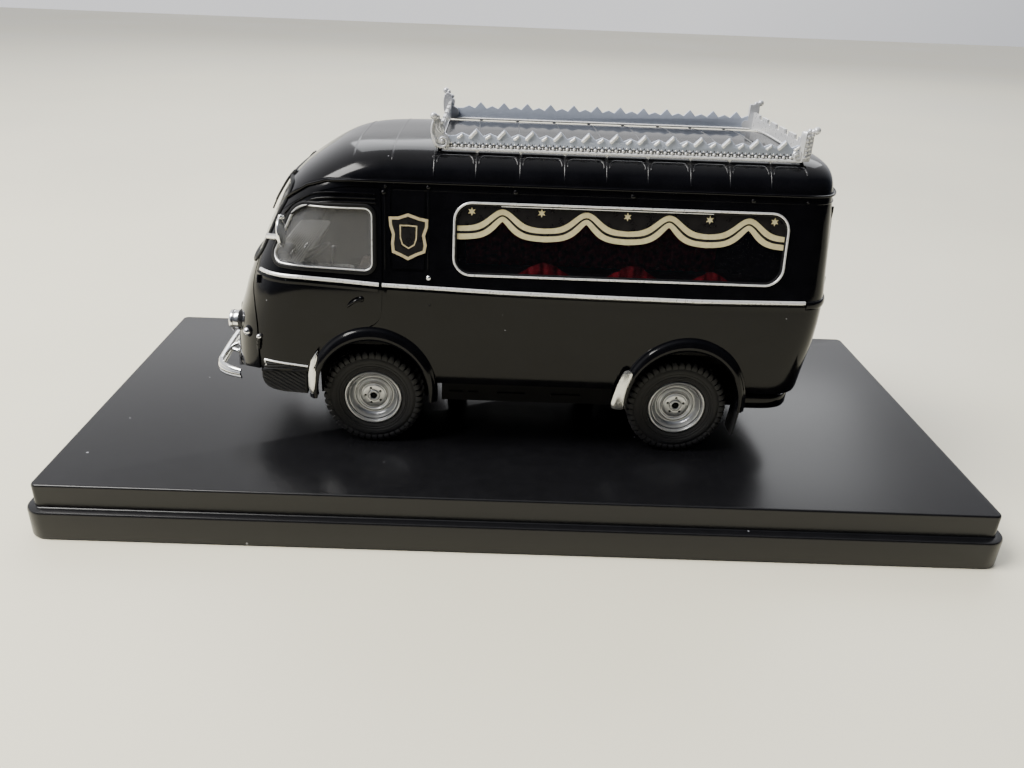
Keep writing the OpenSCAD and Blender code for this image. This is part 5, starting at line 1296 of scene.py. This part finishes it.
ob = mesh("filler_pins", *join(*fp), "chrome", smooth=50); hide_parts("filler_caps")
tl, tb = [], []
for s in (-1, 1):
    c = (tail_at(21, 13.2) - 0.05, s*13.2, 21)
    tb.append(revolve([(0.0005, 0.3), (0.9, 0.3), (1.1, 0.2), (1.15, -0.3), (0.0005, -0.3)], c, "x", 28, 1))
    tl.append(revolve([(0.0005, 0.95), (0.4, 0.88), (0.7, 0.7), (0.85, 0.45), (0.85, 0.25), (0.0005, 0.25)], c, "x", 28, 1))
ob = mesh("tail_lamp_lenses", *join(*tl), "lampred", smooth=50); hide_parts("tail_lamps")
ob = mesh("tail_lamp_bases", *join(*tb), "chrome", smooth=45)
hd = [tube(smooth_line([(50.95, 0.7, 28.1), (51.35, 0.7, 28.0), (51.45, 0.7, 27.2), (51.45, 0.7, 25.6)], 5), 0.26, ref=(0, 1, 0), n=10), ball((50.95, 0.7, 28.1), 0.55, 14, 9, (0.6, 1, 1))]
ob = mesh("rear_door_lever", *join(*hd), "chrome", smooth=50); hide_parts("rear_door_handle")
# hinges of the rear doors
rh = []
for s in (-1, 1):
    for z in (20.5, 32.0, 44.0):
        x = tail_at(z, 15.9)
        rh.append(tube([(x - 0.04, s*15.9, z - 0.9), (x, s*15.9, z), (x - 0.04, s*15.9, z + 0.9)], 0.3, ref=(1, 0, 0), n=10))
ob = mesh("rear_door_hinges", *join(*rh), "paint", smooth=50)
# ------------------------------------------------------------------ cab and load space
def pillow(c, size, p=6.0, n=(34, 34), pleats=0, along=0, depth=0.16, crown=0.12):
    """closed cushion with rounded edges, a crowned top and sewn pleats; along = 0: pleats run along x, 1: along y"""
    nu, nv = n
    u = np.sin(np.linspace(-math.pi/2, math.pi/2, nu)); v = np.sin(np.linspace(-math.pi/2, math.pi/2, nv))
    lx, ly, lz = size
    V = []
    for sgn in (1, -1):
        for a in u:
            for b in v:
                f = max(0.0, 1 - abs(a)**p)**(1/p)*max(0.0, 1 - abs(b)**p)**(1/p)
                z = sgn*lz/2*f
                if sgn > 0 and pleats and f > 0.4:
                    w = (b if along == 0 else a)*pleats/2
                    d = abs(w - round(w))
                    z += crown*(1 - max(abs(a), abs(b))**2) - depth*math.exp(-(d/0.09)**2)*(1 if abs(w) < pleats/2 - 0.2 else 0)
                V.append((c[0] + a*lx/2, c[1] + b*ly/2, c[2] + z))
    N = nu*nv; f = []
    for i in range(nu - 1):
        for j in range(nv - 1):
            q = (i*nv + j, (i + 1)*nv + j, (i + 1)*nv + j + 1, i*nv + j + 1)
            f.append(q); f.append(tuple(N + k for k in q[::-1]))
    return V, f
def weld(ob, d=0.000004):
    bm = bmesh.new(); bm.from_mesh(ob.data)
    bmesh.ops.remove_doubles(bm, verts=bm.verts, dist=d)
    bmesh.ops.dissolve_degenerate(bm, dist=1e-7, edges=bm.edges)
    bmesh.ops.recalc_face_normals(bm, faces=bm.faces)
    bm.to_mesh(ob.data); bm.free()
pads, frs = [], []
for s in (-1, 1):
    pads.append(pillow((-29.7, s*9.9, 22.95), (7.4, 10.8, 2.8), 6, (40, 56), 9, 0))
    V, f = pillow((0, 0, 0), (9.2, 10.2, 1.7), 6, (44, 56), 9, 0)
    R = roty(-90 + 8)
    pads.append(place((V, f), R, (-26.05, s*9.9, 28.0)))
    # piping round the cushion
    rr = rrect(7.3, 10.7, 0.9, -29.7, s*9.9, 5)
    pads.append(tube([(x, y, 23.1) for x, y in rr] + [(rr[0][0], rr[0][1], 23.1)], 0.16, n=8))
    # seat frame with a kick plate and feet
    frs.append(prism(rrect(6.0, 4.6, 0.5, -29.8, 18.95, 4), s*9.7 - 4.2, s*9.7 + 4.2))
    for x in (-32.3, -27.3):
        frs.append(prism(rrect(0.7, 7.6, 0.2, x, s*9.7, 3), 16.35, 21.4, "z"))
    for k in range(5):
        frs.append(prism([(-32.95, 17.3 + 0.75*k), (-32.7, 17.3 + 0.75*k), (-32.7, 17.6 + 0.75*k), (-32.95, 17.6 + 0.75*k)], s*9.7 - 3.4, s*9.7 + 3.4))
ob = mesh("cab_seat_cushions", *join(*pads), "leather", smooth=50); weld(ob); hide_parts("cab_seats")
ob = mesh("cab_seat_frames", *join(*frs), "moulded", smooth=30)

# dashboard with a ribbed light top shelf, an instrument pod and a rounded strip along its foot
prof = [(-45.7, 26.9), (-43.2, 26.9), (-42.5, 27.4), (-42.3, 28.4), (-42.35, 29.9), (-42.55, 30.5), (-42.9, 30.75), (-45.7, 30.75)]
db = [prism(prof, -16.4, 16.4)]
db.append(prism(rrect(3.2, 0.5, 0.2, -43.9, 27.0, 3), -15.5, 15.5))
ob = mesh("dashboard_panel", *join(*db), "moulded", smooth=35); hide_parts("dashboard")
sh = []
prof2 = [(-45.9, 30.35), (-40.2, 30.35), (-39.9, 30.5), (-39.85, 30.75), (-40.1, 30.95)]
xs_ = np.linspace(-40.3, -45.7, 13)
for i, x in enumerate(xs_[:-1]):
    prof2 += [(x, 30.95), (x - 0.1, 31.15), (x - 0.24, 31.15), (x - 0.34, 30.95)]
prof2.append((-45.9, 30.95))
sh.append(prism(prof2, -15.6, 15.6))
sh.append(prism([(-40.6, 28.9), (-39.95, 30.4), (-41.6, 30.4), (-42.3, 28.9)], -15.4, 15.4))
ob = mesh("dashboard_shelf", *join(*sh), "cabgrey", smooth=35)
pod, gg, gr = [], [], []
pod.append(prism([(-44.9, 30.9), (-41.9, 30.9), (-42.3, 32.0), (-43.0, 32.4), (-44.4, 32.3), (-44.9, 31.8)], -11.1, -5.7))
for i, (y, r) in enumerate(((-9.7, 0.55), (-8.4, 0.55), (-7.1, 0.42), (-6.3, 0.28))):
    c = (-42.1, y, 31.45)
    gr.append(place(revolve([(r*0.82, -0.1), (r*1.08, -0.1), (r*1.08, 0.12), (r*0.95, 0.18), (r*0.82, 0.12)], (0, 0, 0), "x", 24, 1), roty(-20), c))
    gg.append(place(revolve([(0.0005, -0.1), (r*0.84, -0.1), (r*0.84, 0.05), (0.0005, 0.05)], (0, 0, 0), "x", 24, 1), roty(-20), c))
    for k in range(8):
        a = k*math.pi/4
        q = np.array([0.07, r*0.62*math.cos(a), r*0.62*math.sin(a)])
        gr.append(place(ball((0, 0, 0), 0.05, 6, 5), np.eye(3), np.array(c) + roty(-20) @ q))
for y, z in ((-4.6, 31.2), (-3.8, 31.2), (-3.0, 31.2), (-2.0, 31.2)):
    gr.append(ball((-40.9, y, z), 0.26, 10, 7))
ob = mesh("instrument_pod", *join(*pod), "moulded", smooth=35)
ob = mesh("instrument_faces", *join(*gg), "gauge", smooth=40)
ob = mesh("instrument_rings", *join(*gr), "chrome", smooth=45)

# steering wheel
R = roty(-28); t = np.array([-38.8, -10, 31.6]); sw = []
rim = [(4*math.cos(a), 4*math.sin(a), 0) for a in np.linspace(0, 2*math.pi, 65)]
V, f = revolve([(4 + 0.3*math.cos(a), 0.3*math.sin(a)) for a in np.linspace(0, 2*math.pi, 13)[:-1]], (0, 0, 0), "z", 72, 1)
sw.append(place((V, f), R, t))
for k in range(40):
    a = k*math.pi/20
    sw.append(place(ball((4*math.cos(a) - 0.16*math.cos(a), 4*math.sin(a) - 0.16*math.sin(a), -0.06), 0.2, 6, 5), R, t))
for a in (0, 120, 240):
    a = math.radians(a + 60)
    sw.append(place(tube([(0.5*math.cos(a), 0.5*math.sin(a), -0.15), (2.2*math.cos(a), 2.2*math.sin(a), -0.25), (3.95*math.cos(a), 3.95*math.sin(a), 0)], 0.2, n=8), R, t))
sw.append(place(revolve([(0.0005, 0.3), (0.5, 0.28), (0.85, 0.12), (0.92, -0.15), (0.6, -0.45), (0.45, -0.6), (0.45, -9.4), (0.0005, -9.4)], (0, 0, 0), "z", 28, 1), R, t))
ob = mesh("steering_wheel_rim_and_column", *join(*sw), "moulded", smooth=45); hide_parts("steering_wheel")

# levers beside the driver and the cover over the engine
cv = []
cv.append(prism(rrect(9.6, 9.4, 1.3, -38.2, 0, 6), 16.4, 25.4, "z"))
for k in range(8):
    cv.append(prism(rrect(0.35, 8.0, 0.1, -41.9 + k*1.05, 0, 2), 25.3, 25.75, "z"))
for z in (18.3, 20.3, 22.3, 24.2):
    for s in (-1, 1):
        cv.append(prism(rrect(8.4, 0.5, 0.2, -38.2, z, 3), s*4.75 - 0.12, s*4.75 + 0.12))
ob = mesh("engine_cover", *join(*cv), "cabgrey", smooth=35)
lv = [tube(smooth_line([(-36.5, -3.4, 25.4), (-36.2, -3.9, 28.4), (-35.6, -4.6, 31.2)], 6), 0.2, n=8), ball((-35.55, -4.65, 31.5), 0.5, 14, 10),
      tube(smooth_line([(-34.9, -5.6, 17.0), (-34.4, -5.6, 22.0), (-33.6, -5.6, 26.6)], 6), 0.26, n=8)]
ob = mesh("cab_levers", *join(*lv), "steel", smooth=50)

# bulkhead with a framed opening and three pressed cross ribs below it
BH0, BH1 = -23.55, -22.85
def bh_section(n=22):
    out = []
    for z in np.linspace(22.4, 50.6, n):
        out.append((side_y(-23.2, min(52.7, z + 0.9*max(0, min(1, (z - 43)/4)))) - 1.15, z))
    return out
bs_ = bh_section()
poly = [(y, z) for y, z in bs_] + [(-y, z) for y, z in bs_[::-1]]
bh = mesh("bulkhead_panel", *prism(poly, BH0, BH1, "x"), "moulded", smooth=None, ride=False)
boolean(bh, [temp(*prism(rrect(22, 8.5, 1.5, 0, 40, 6), BH0 - 1, BH1 + 1, "x"))]); shade(bh, 30)
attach(bh, "model"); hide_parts("bulkhead")
w_ = rrect(22.3, 8.8, 1.6, 0, 40, 6)
bd = [tube([(x, y, z) for y, z in w_] + [(x, w_[0][0], w_[0][1])], 0.28, ref=(1, 0, 0), n=8) for x in (BH0 - 0.05, BH1 + 0.05)]
for z in (25.5, 29.0, 32.5):
    for x, d in ((BH0 - 0.14, 1), (BH1 + 0.14, -1)):
        bd.append(prism(rrect(30, 0.6, 0.25, 0, z, 3), min(x, x + d*0.2), max(x, x + d*0.2), "x"))
ob = mesh("bulkhead_mouldings", *join(*bd), "moulded", smooth=45)

# boarded deck with bright runners, rollers and end stops
bdk = []
wy = 20.0
for k in range(14):
    y0, y1 = -wy + k*2*wy/14 + 0.06, -wy + (k + 1)*2*wy/14 - 0.06
    m = max(abs(y0), abs(y1))
    x1 = 46.8 if m < 15 else 45.6 if m < 17.5 else 43.5
    bdk.append(prism([(-22.7, 22.0), (x1, 22.0), (x1, 22.24), (x1 - 0.06, 22.3), (-22.64, 22.3), (-22.7, 22.24)], y0, y1))
bdk.append(prism([(-22.75, 21.35), (43.4, 21.35), (43.4, 22.05), (-22.75, 22.05)], -20.1, 20.1))
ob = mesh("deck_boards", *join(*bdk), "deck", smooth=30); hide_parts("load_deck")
rl = []
for y in (-10.5, -3.5, 3.5, 10.5):
    rl.append(prism([(y - 0.34, 22.25), (y + 0.34, 22.25), (y + 0.3, 22.55), (y + 0.14, 22.72), (y - 0.14, 22.72), (y - 0.3, 22.55)], -18, 43.6, "x"))
    for x in (-17.6, -9.4, -1, 8.6, 17.6, 26.6, 35.5, 43.1):
        rl.append(prism(rrect(1.1, 1.7, 0.3, x, y, 4), 22.25, 22.5, "z"))
        for h in (-0.6, 0.6):
            rl.append(ball((x, y + h, 22.5), 0.14, 8, 6))
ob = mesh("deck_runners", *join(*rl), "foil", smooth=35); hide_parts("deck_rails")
# red cloth valance bunched along the foot of the side windows
vl = []
for s in (-1, 1):
    xs2 = np.linspace(-12.2, 40.2, 220)
    pts = []
    top, fr_, bk_ = [], [], []
    n = len(xs2); V = []
    for x in xs2:
        hgt = 0.4 + 3.1*math.exp(-((x - 2)/4.2)**2) + 3.1*math.exp(-((x - 16.8)/4.0)**2) + 2.5*math.exp(-((x - 30)/3.2)**2)
        wv = 0.22*math.sin(x*2.7) + 0.12*math.sin(x*5.3 + 1)
        yb = 18.6 + wv
        ring_ = [(x, s*(yb - 0.9), 22.35), (x, s*(yb - 0.75), 27.5 + hgt*0.5), (x, s*(yb - 0.45), 30.6 + hgt - 0.3), (x, s*yb, 30.9 + hgt), (x, s*(yb + 0.3), 30.5 + hgt - 0.3), (x, s*(yb + 0.5), 27.5 + hgt*0.4), (x, s*(yb + 0.45), 22.35)]
        V += ring_
    m = 7; f = []
    for i in range(n - 1):
        for k in range(m):
            l = (k + 1) % m
            f.append((i*m + k, i*m + l, (i + 1)*m + l, (i + 1)*m + k))
    f.append(tuple(range(m))[::-1]); f.append(tuple((n - 1)*m + k for k in range(m)))
    vl.append((V, f))
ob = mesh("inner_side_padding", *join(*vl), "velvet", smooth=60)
# ------------------------------------------------------------------ plinth, underbody and tail fittings
def slab_rings(levels_, rfun, n=9):
    """stack of rounded rectangles: (length, depth, corner radius, height above the table)"""
    V, rings = [], 0
    for L, D, r, z in levels_:
        V += [(x - VX, y, z - ZP) for x, y in rrect(L, D, r, 0, 0, n)]
        rings += 1
    m = len(V)//rings; f = []
    for j in range(rings - 1):
        for i in range(m):
            k = (i + 1) % m
            f.append((j*m + i, j*m + k, (j + 1)*m + k, (j + 1)*m + i))
    f.append(tuple(range(m))[::-1]); f.append(tuple((rings - 1)*m + i for i in range(m)))
    return V, f
LV = [(162.8, 78.8, 3.3, 0.0), (163.12, 79.12, 3.45, 0.12), (163.2, 79.2, 3.5, 0.35), (163.2, 79.2, 3.5, 4.7), (163.12, 79.12, 3.45, 4.95), (162.9, 78.9, 3.35, 5.12), (162.5, 78.5, 3.2, 5.2),
      (160.3, 76.3, 1.3, 5.2), (160.05, 76.05, 1.15, 5.3), (160.0, 76.0, 1.1, 5.5), (160.0, 76.0, 1.1, 9.05), (159.93, 75.93, 1.1, 9.28), (159.75, 75.75, 1.05, 9.43), (159.45, 75.45, 1.0, 9.5)]
pl = mesh("plinth_shell", *slab_rings(LV, None), "plinth", smooth=None, ride=False)
cut = [temp(*prism([(x - VX, y) for x, y in rrect(156, 72, 1.5, 0, 0, 5)], -1 - ZP, 7.5 - ZP, "z"))]
boolean(pl, cut); shade(pl, 35)
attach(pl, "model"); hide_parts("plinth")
bs = []
for x in (-13.0, 13.0):
    bs.append(revolve([(1.25, 7.55 - ZP), (4.0, 7.55 - ZP), (4.0, 0.6 - ZP), (3.8, 0.4 - ZP), (2.7, 0.4 - ZP), (2.6, 0.5 - ZP), (2.6, 3.9 - ZP), (1.25, 3.9 - ZP)], (x, 0, 0), "z", 40, 1))
for k in range(-3, 4):
    bs.append(prism([(k*22.0 - 0.5, -36.2), (k*22.0 + 0.5, -36.2), (k*22.0 + 0.5, -33.5), (k*22.0 - 0.5, -33.5)], 3.0 - ZP, 7.55 - ZP, "z"))
    bs.append(prism([(k*22.0 - 0.5, 33.5), (k*22.0 + 0.5, 33.5), (k*22.0 + 0.5, 36.2), (k*22.0 - 0.5, 36.2)], 3.0 - ZP, 7.55 - ZP, "z"))
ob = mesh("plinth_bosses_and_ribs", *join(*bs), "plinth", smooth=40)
sc_ = []
for x in (-13.0, 13.0):
    pr = [(0.0005, 2.9 - ZP), (0.5, 2.9 - ZP), (0.5, 2.25 - ZP), (1.6, 2.25 - ZP), (2.0, 2.45 - ZP), (2.2, 2.8 - ZP), (2.2, 3.9 - ZP), (1.1, 4.0 - ZP), (1.1, 8.9), (0.9, 9.0), (0.0005, 9.0)]
    sc_.append(revolve(pr[::-1], (x, 0, 0), "z", 36, 1))
    for k in range(6):
        a = k*math.pi/3
        sc_.append(prism([(x + 0.5*math.cos(a + d) + 0.9*math.cos(a)*q, 0.5*math.sin(a + d) + 0.9*math.sin(a)*q) for d, q in ((-0.25, 0), (0.25, 0), (0.12, 0.5), (-0.12, 0.5))], 2.22 - ZP, 2.4 - ZP, "z"))
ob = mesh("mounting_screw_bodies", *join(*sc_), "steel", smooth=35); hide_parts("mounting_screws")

# rear valance with a rolled lower edge
def plan(xa, inset, z):
    h = outline(14.0, 20, 30, 40)
    k = (18.6 - inset)/21.5
    pts = [(xa, -(18.6 - inset))] + [(min(x - 0.45 - inset, 49.2), -y*k) for x, y in h if x > xa][0:]
    pts = [(x, -abs(y)) for x, y in pts]
    other = [(x, abs(y)) for x, y in pts[::-1]]
    return [(x, y, z) for x, y in pts + other]
lv_ = [(0.9, 8.45), (0.45, 8.5), (0.12, 8.75), (0.0, 9.1), (0.0, 10.9), (0.1, 11.1), (0.35, 11.17)]
rg = [plan(39.3, i, z) for i, z in lv_]
m = len(rg[0]); V = sum(rg, []); f = []
for j in range(len(rg) - 1):
    for i in range(m):
        k = (i + 1) % m
        f.append((j*m + i, j*m + k, (j + 1)*m + k, (j + 1)*m + i))
f.append(tuple(range(m))[::-1]); f.append(tuple((len(rg) - 1)*m + i for i in range(m)))
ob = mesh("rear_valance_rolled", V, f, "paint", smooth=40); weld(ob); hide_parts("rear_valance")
# mudflaps with ribs
mf = []
for s in (-1, 1):
    R = roty(6); t = np.array([37.4, s*18, 3.7])
    mf.append(place(prism(rrect(4.5, 11.4, 0.5, 0, 5.75, 4), 0.02, 0.34, "x"), R, t))
    for k in range(-4, 5):
        mf.append(place(prism(rrect(0.2, 9.6, 0.08, k*0.46, 5.6, 2), 0.3, 0.44, "x"), R, t))
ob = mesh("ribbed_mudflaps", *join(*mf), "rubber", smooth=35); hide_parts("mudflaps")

# near-black inner housings behind the wheels, notched over the axles: partly their own black, partly painted shade in
# the arches
ih = []
for xc, xe in ((-27.0, 10.4), (27.0, 13.6)):
    for sd in (-1, 1):
        a = [(xc - 10.6, 6.2), (xc - 2.2, 6.2), (xc - 2.2, 11.6), (xc + 2.2, 11.6), (xc + 2.2, 6.2), (xc + xe, 6.2), (xc + xe, 15.5), (xc + 8.6, 20.4), (xc + 5.5, 21.6), (xc - 5.5, 21.6), (xc - 8.8, 20.4), (xc - 10.6, 17.5)]
        ih.append(prism(a, sd*12.3 - 0.35, sd*12.3 + 0.35))
        for k in (-7.5, -4.6, 4.6, 7.5):
            ih.append(prism(rrect(0.7, 8.5, 0.3, xc + k, 13.2, 3), sd*12.3 - 0.55, sd*12.3 + 0.55))
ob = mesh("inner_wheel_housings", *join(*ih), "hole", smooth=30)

# ------------------------------------------------------------------ finishes of the CAD nodes that stay
CADMAT = {"mounting_screws": "steel", "chassis_plate": "chassis", "side_rails": "chassis", "engine_gearbox": "chassis", "propshaft": "chassis", "exhaust": "steel",
          "plinth": "plinth", "bulkhead": "moulded", "load_deck": "deck", "deck_rails": "foil", "cab_seats": "leather", "dashboard": "cabgrey",
          "steering_wheel": "moulded", "windscreen": "cabglass", "door_glass": "cabglass", "side_glass": "glass", "rear_glass": "glass",
          "door_window_frames": "foil", "side_window_frames": "foil", "belt_mouldings": "foil", "headlamps": "chrome", "side_lamps": "chrome",
          "grille": "paint", "front_bumper": "chrome", "front_number_plate": "plate", "rear_number_plate": "plate", "mirrors": "chrome",
          "wipers": "moulded", "door_handles": "paint", "cab_steps": "moulded", "stone_guards": "foil", "mudflaps": "rubber", "rear_valance": "moulded",
          "tail_lamps": "lampred", "rear_door_handle": "paint", "crest_plates": "golddark", "filler_caps": "chrome", "gallery_left": "silver",
          "gallery_right": "silver", "gallery_front": "silver", "gallery_rear": "silver", "gallery_posts": "silver", "front_axle": "steel",
          "rear_axle": "steel", "front_rims": "wheel", "rear_rims": "wheel", "front_tyres": "rubber", "rear_tyres": "rubber",
          "body_shell": "paint", "front_wheel_arches": "paint", "rear_wheel_arches": "paint", "gutter": "paint"}
for n, o in NODE.items():
    o.data.materials.clear()
    o.data.materials.append(M[CADMAT.get(n, "moulded")])

# ------------------------------------------------------------------ floor, light, world
def stage():
    me = bpy.data.meshes.new("floor")
    s = 1.6
    me.from_pydata([(-s, -0.21, -0.0001), (s, -0.21, -0.0001), (s, s, -0.0001), (-s, s, -0.0001)], [], [(0, 1, 2, 3)])
    fl = bpy.data.objects.new("floor", me)
    bpy.context.scene.collection.objects.link(fl)
    m = surface("pale_table", (0.88, 0.835, 0.66), 0.4, var=0.03, scale=6, bump=0.05, bscale=300, bdist=0.0001)
    me.materials.append(m)
stage()

def area(name, loc, size, power, target=(0, 0, 0.03), col=(1, 1, 1), sy=None):
    ld = bpy.data.lights.new(name, 'AREA')
    ld.shape = 'RECTANGLE'; ld.size = size; ld.size_y = sy or size
    ld.energy = power; ld.color = col
    lo = bpy.data.objects.new(name, ld)
    lo.location = loc
    lo.rotation_euler = (Vector(target) - Vector(loc)).to_track_quat('-Z', 'Y').to_euler()
    bpy.context.scene.collection.objects.link(lo)
    return lo
area("key", (-0.45, -0.12, 0.62), 0.35, 10.5, col=(1.0, 0.98, 0.94))
area("soft_back", (0.1, 0.7, 0.55), 0.9, 4.0, col=(0.96, 0.98, 1.0), sy=0.5)

w = bpy.data.worlds.new("studio")
bpy.context.scene.world = w
w.use_nodes = True
nt = w.node_tree
bg = nt.nodes["Background"]
tc = nt.nodes.new("ShaderNodeTexCoord")
dp = nt.nodes.new("ShaderNodeVectorMath"); dp.operation = 'DOT_PRODUCT'
nt.links.new(tc.outputs["Generated"], dp.inputs[0])
dp.inputs[1].default_value = (-0.42, 0.72, 0.55)
rp = nt.nodes.new("ShaderNodeValToRGB")
mr = nt.nodes.new("ShaderNodeMapRange")
mr.inputs["From Min"].default_value = -1; mr.inputs["From Max"].default_value = 1
nt.links.new(dp.outputs["Value"], mr.inputs["Value"])
nt.links.new(mr.outputs["Result"], rp.inputs["Fac"])
rp.color_ramp.elements[0].position = 0.3
rp.color_ramp.elements[0].color = (0.02, 0.022, 0.03, 1)
rp.color_ramp.elements[1].position = 0.8
rp.color_ramp.elements[1].color = (0.95, 0.95, 0.97, 1)
e = rp.color_ramp.elements.new(0.52); e.color = (0.12, 0.135, 0.17, 1)
e = rp.color_ramp.elements.new(0.62); e.color = (0.5, 0.52, 0.57, 1)
nt.links.new(rp.outputs["Color"], bg.inputs["Color"])
bg.inputs["Strength"].default_value = 1.08
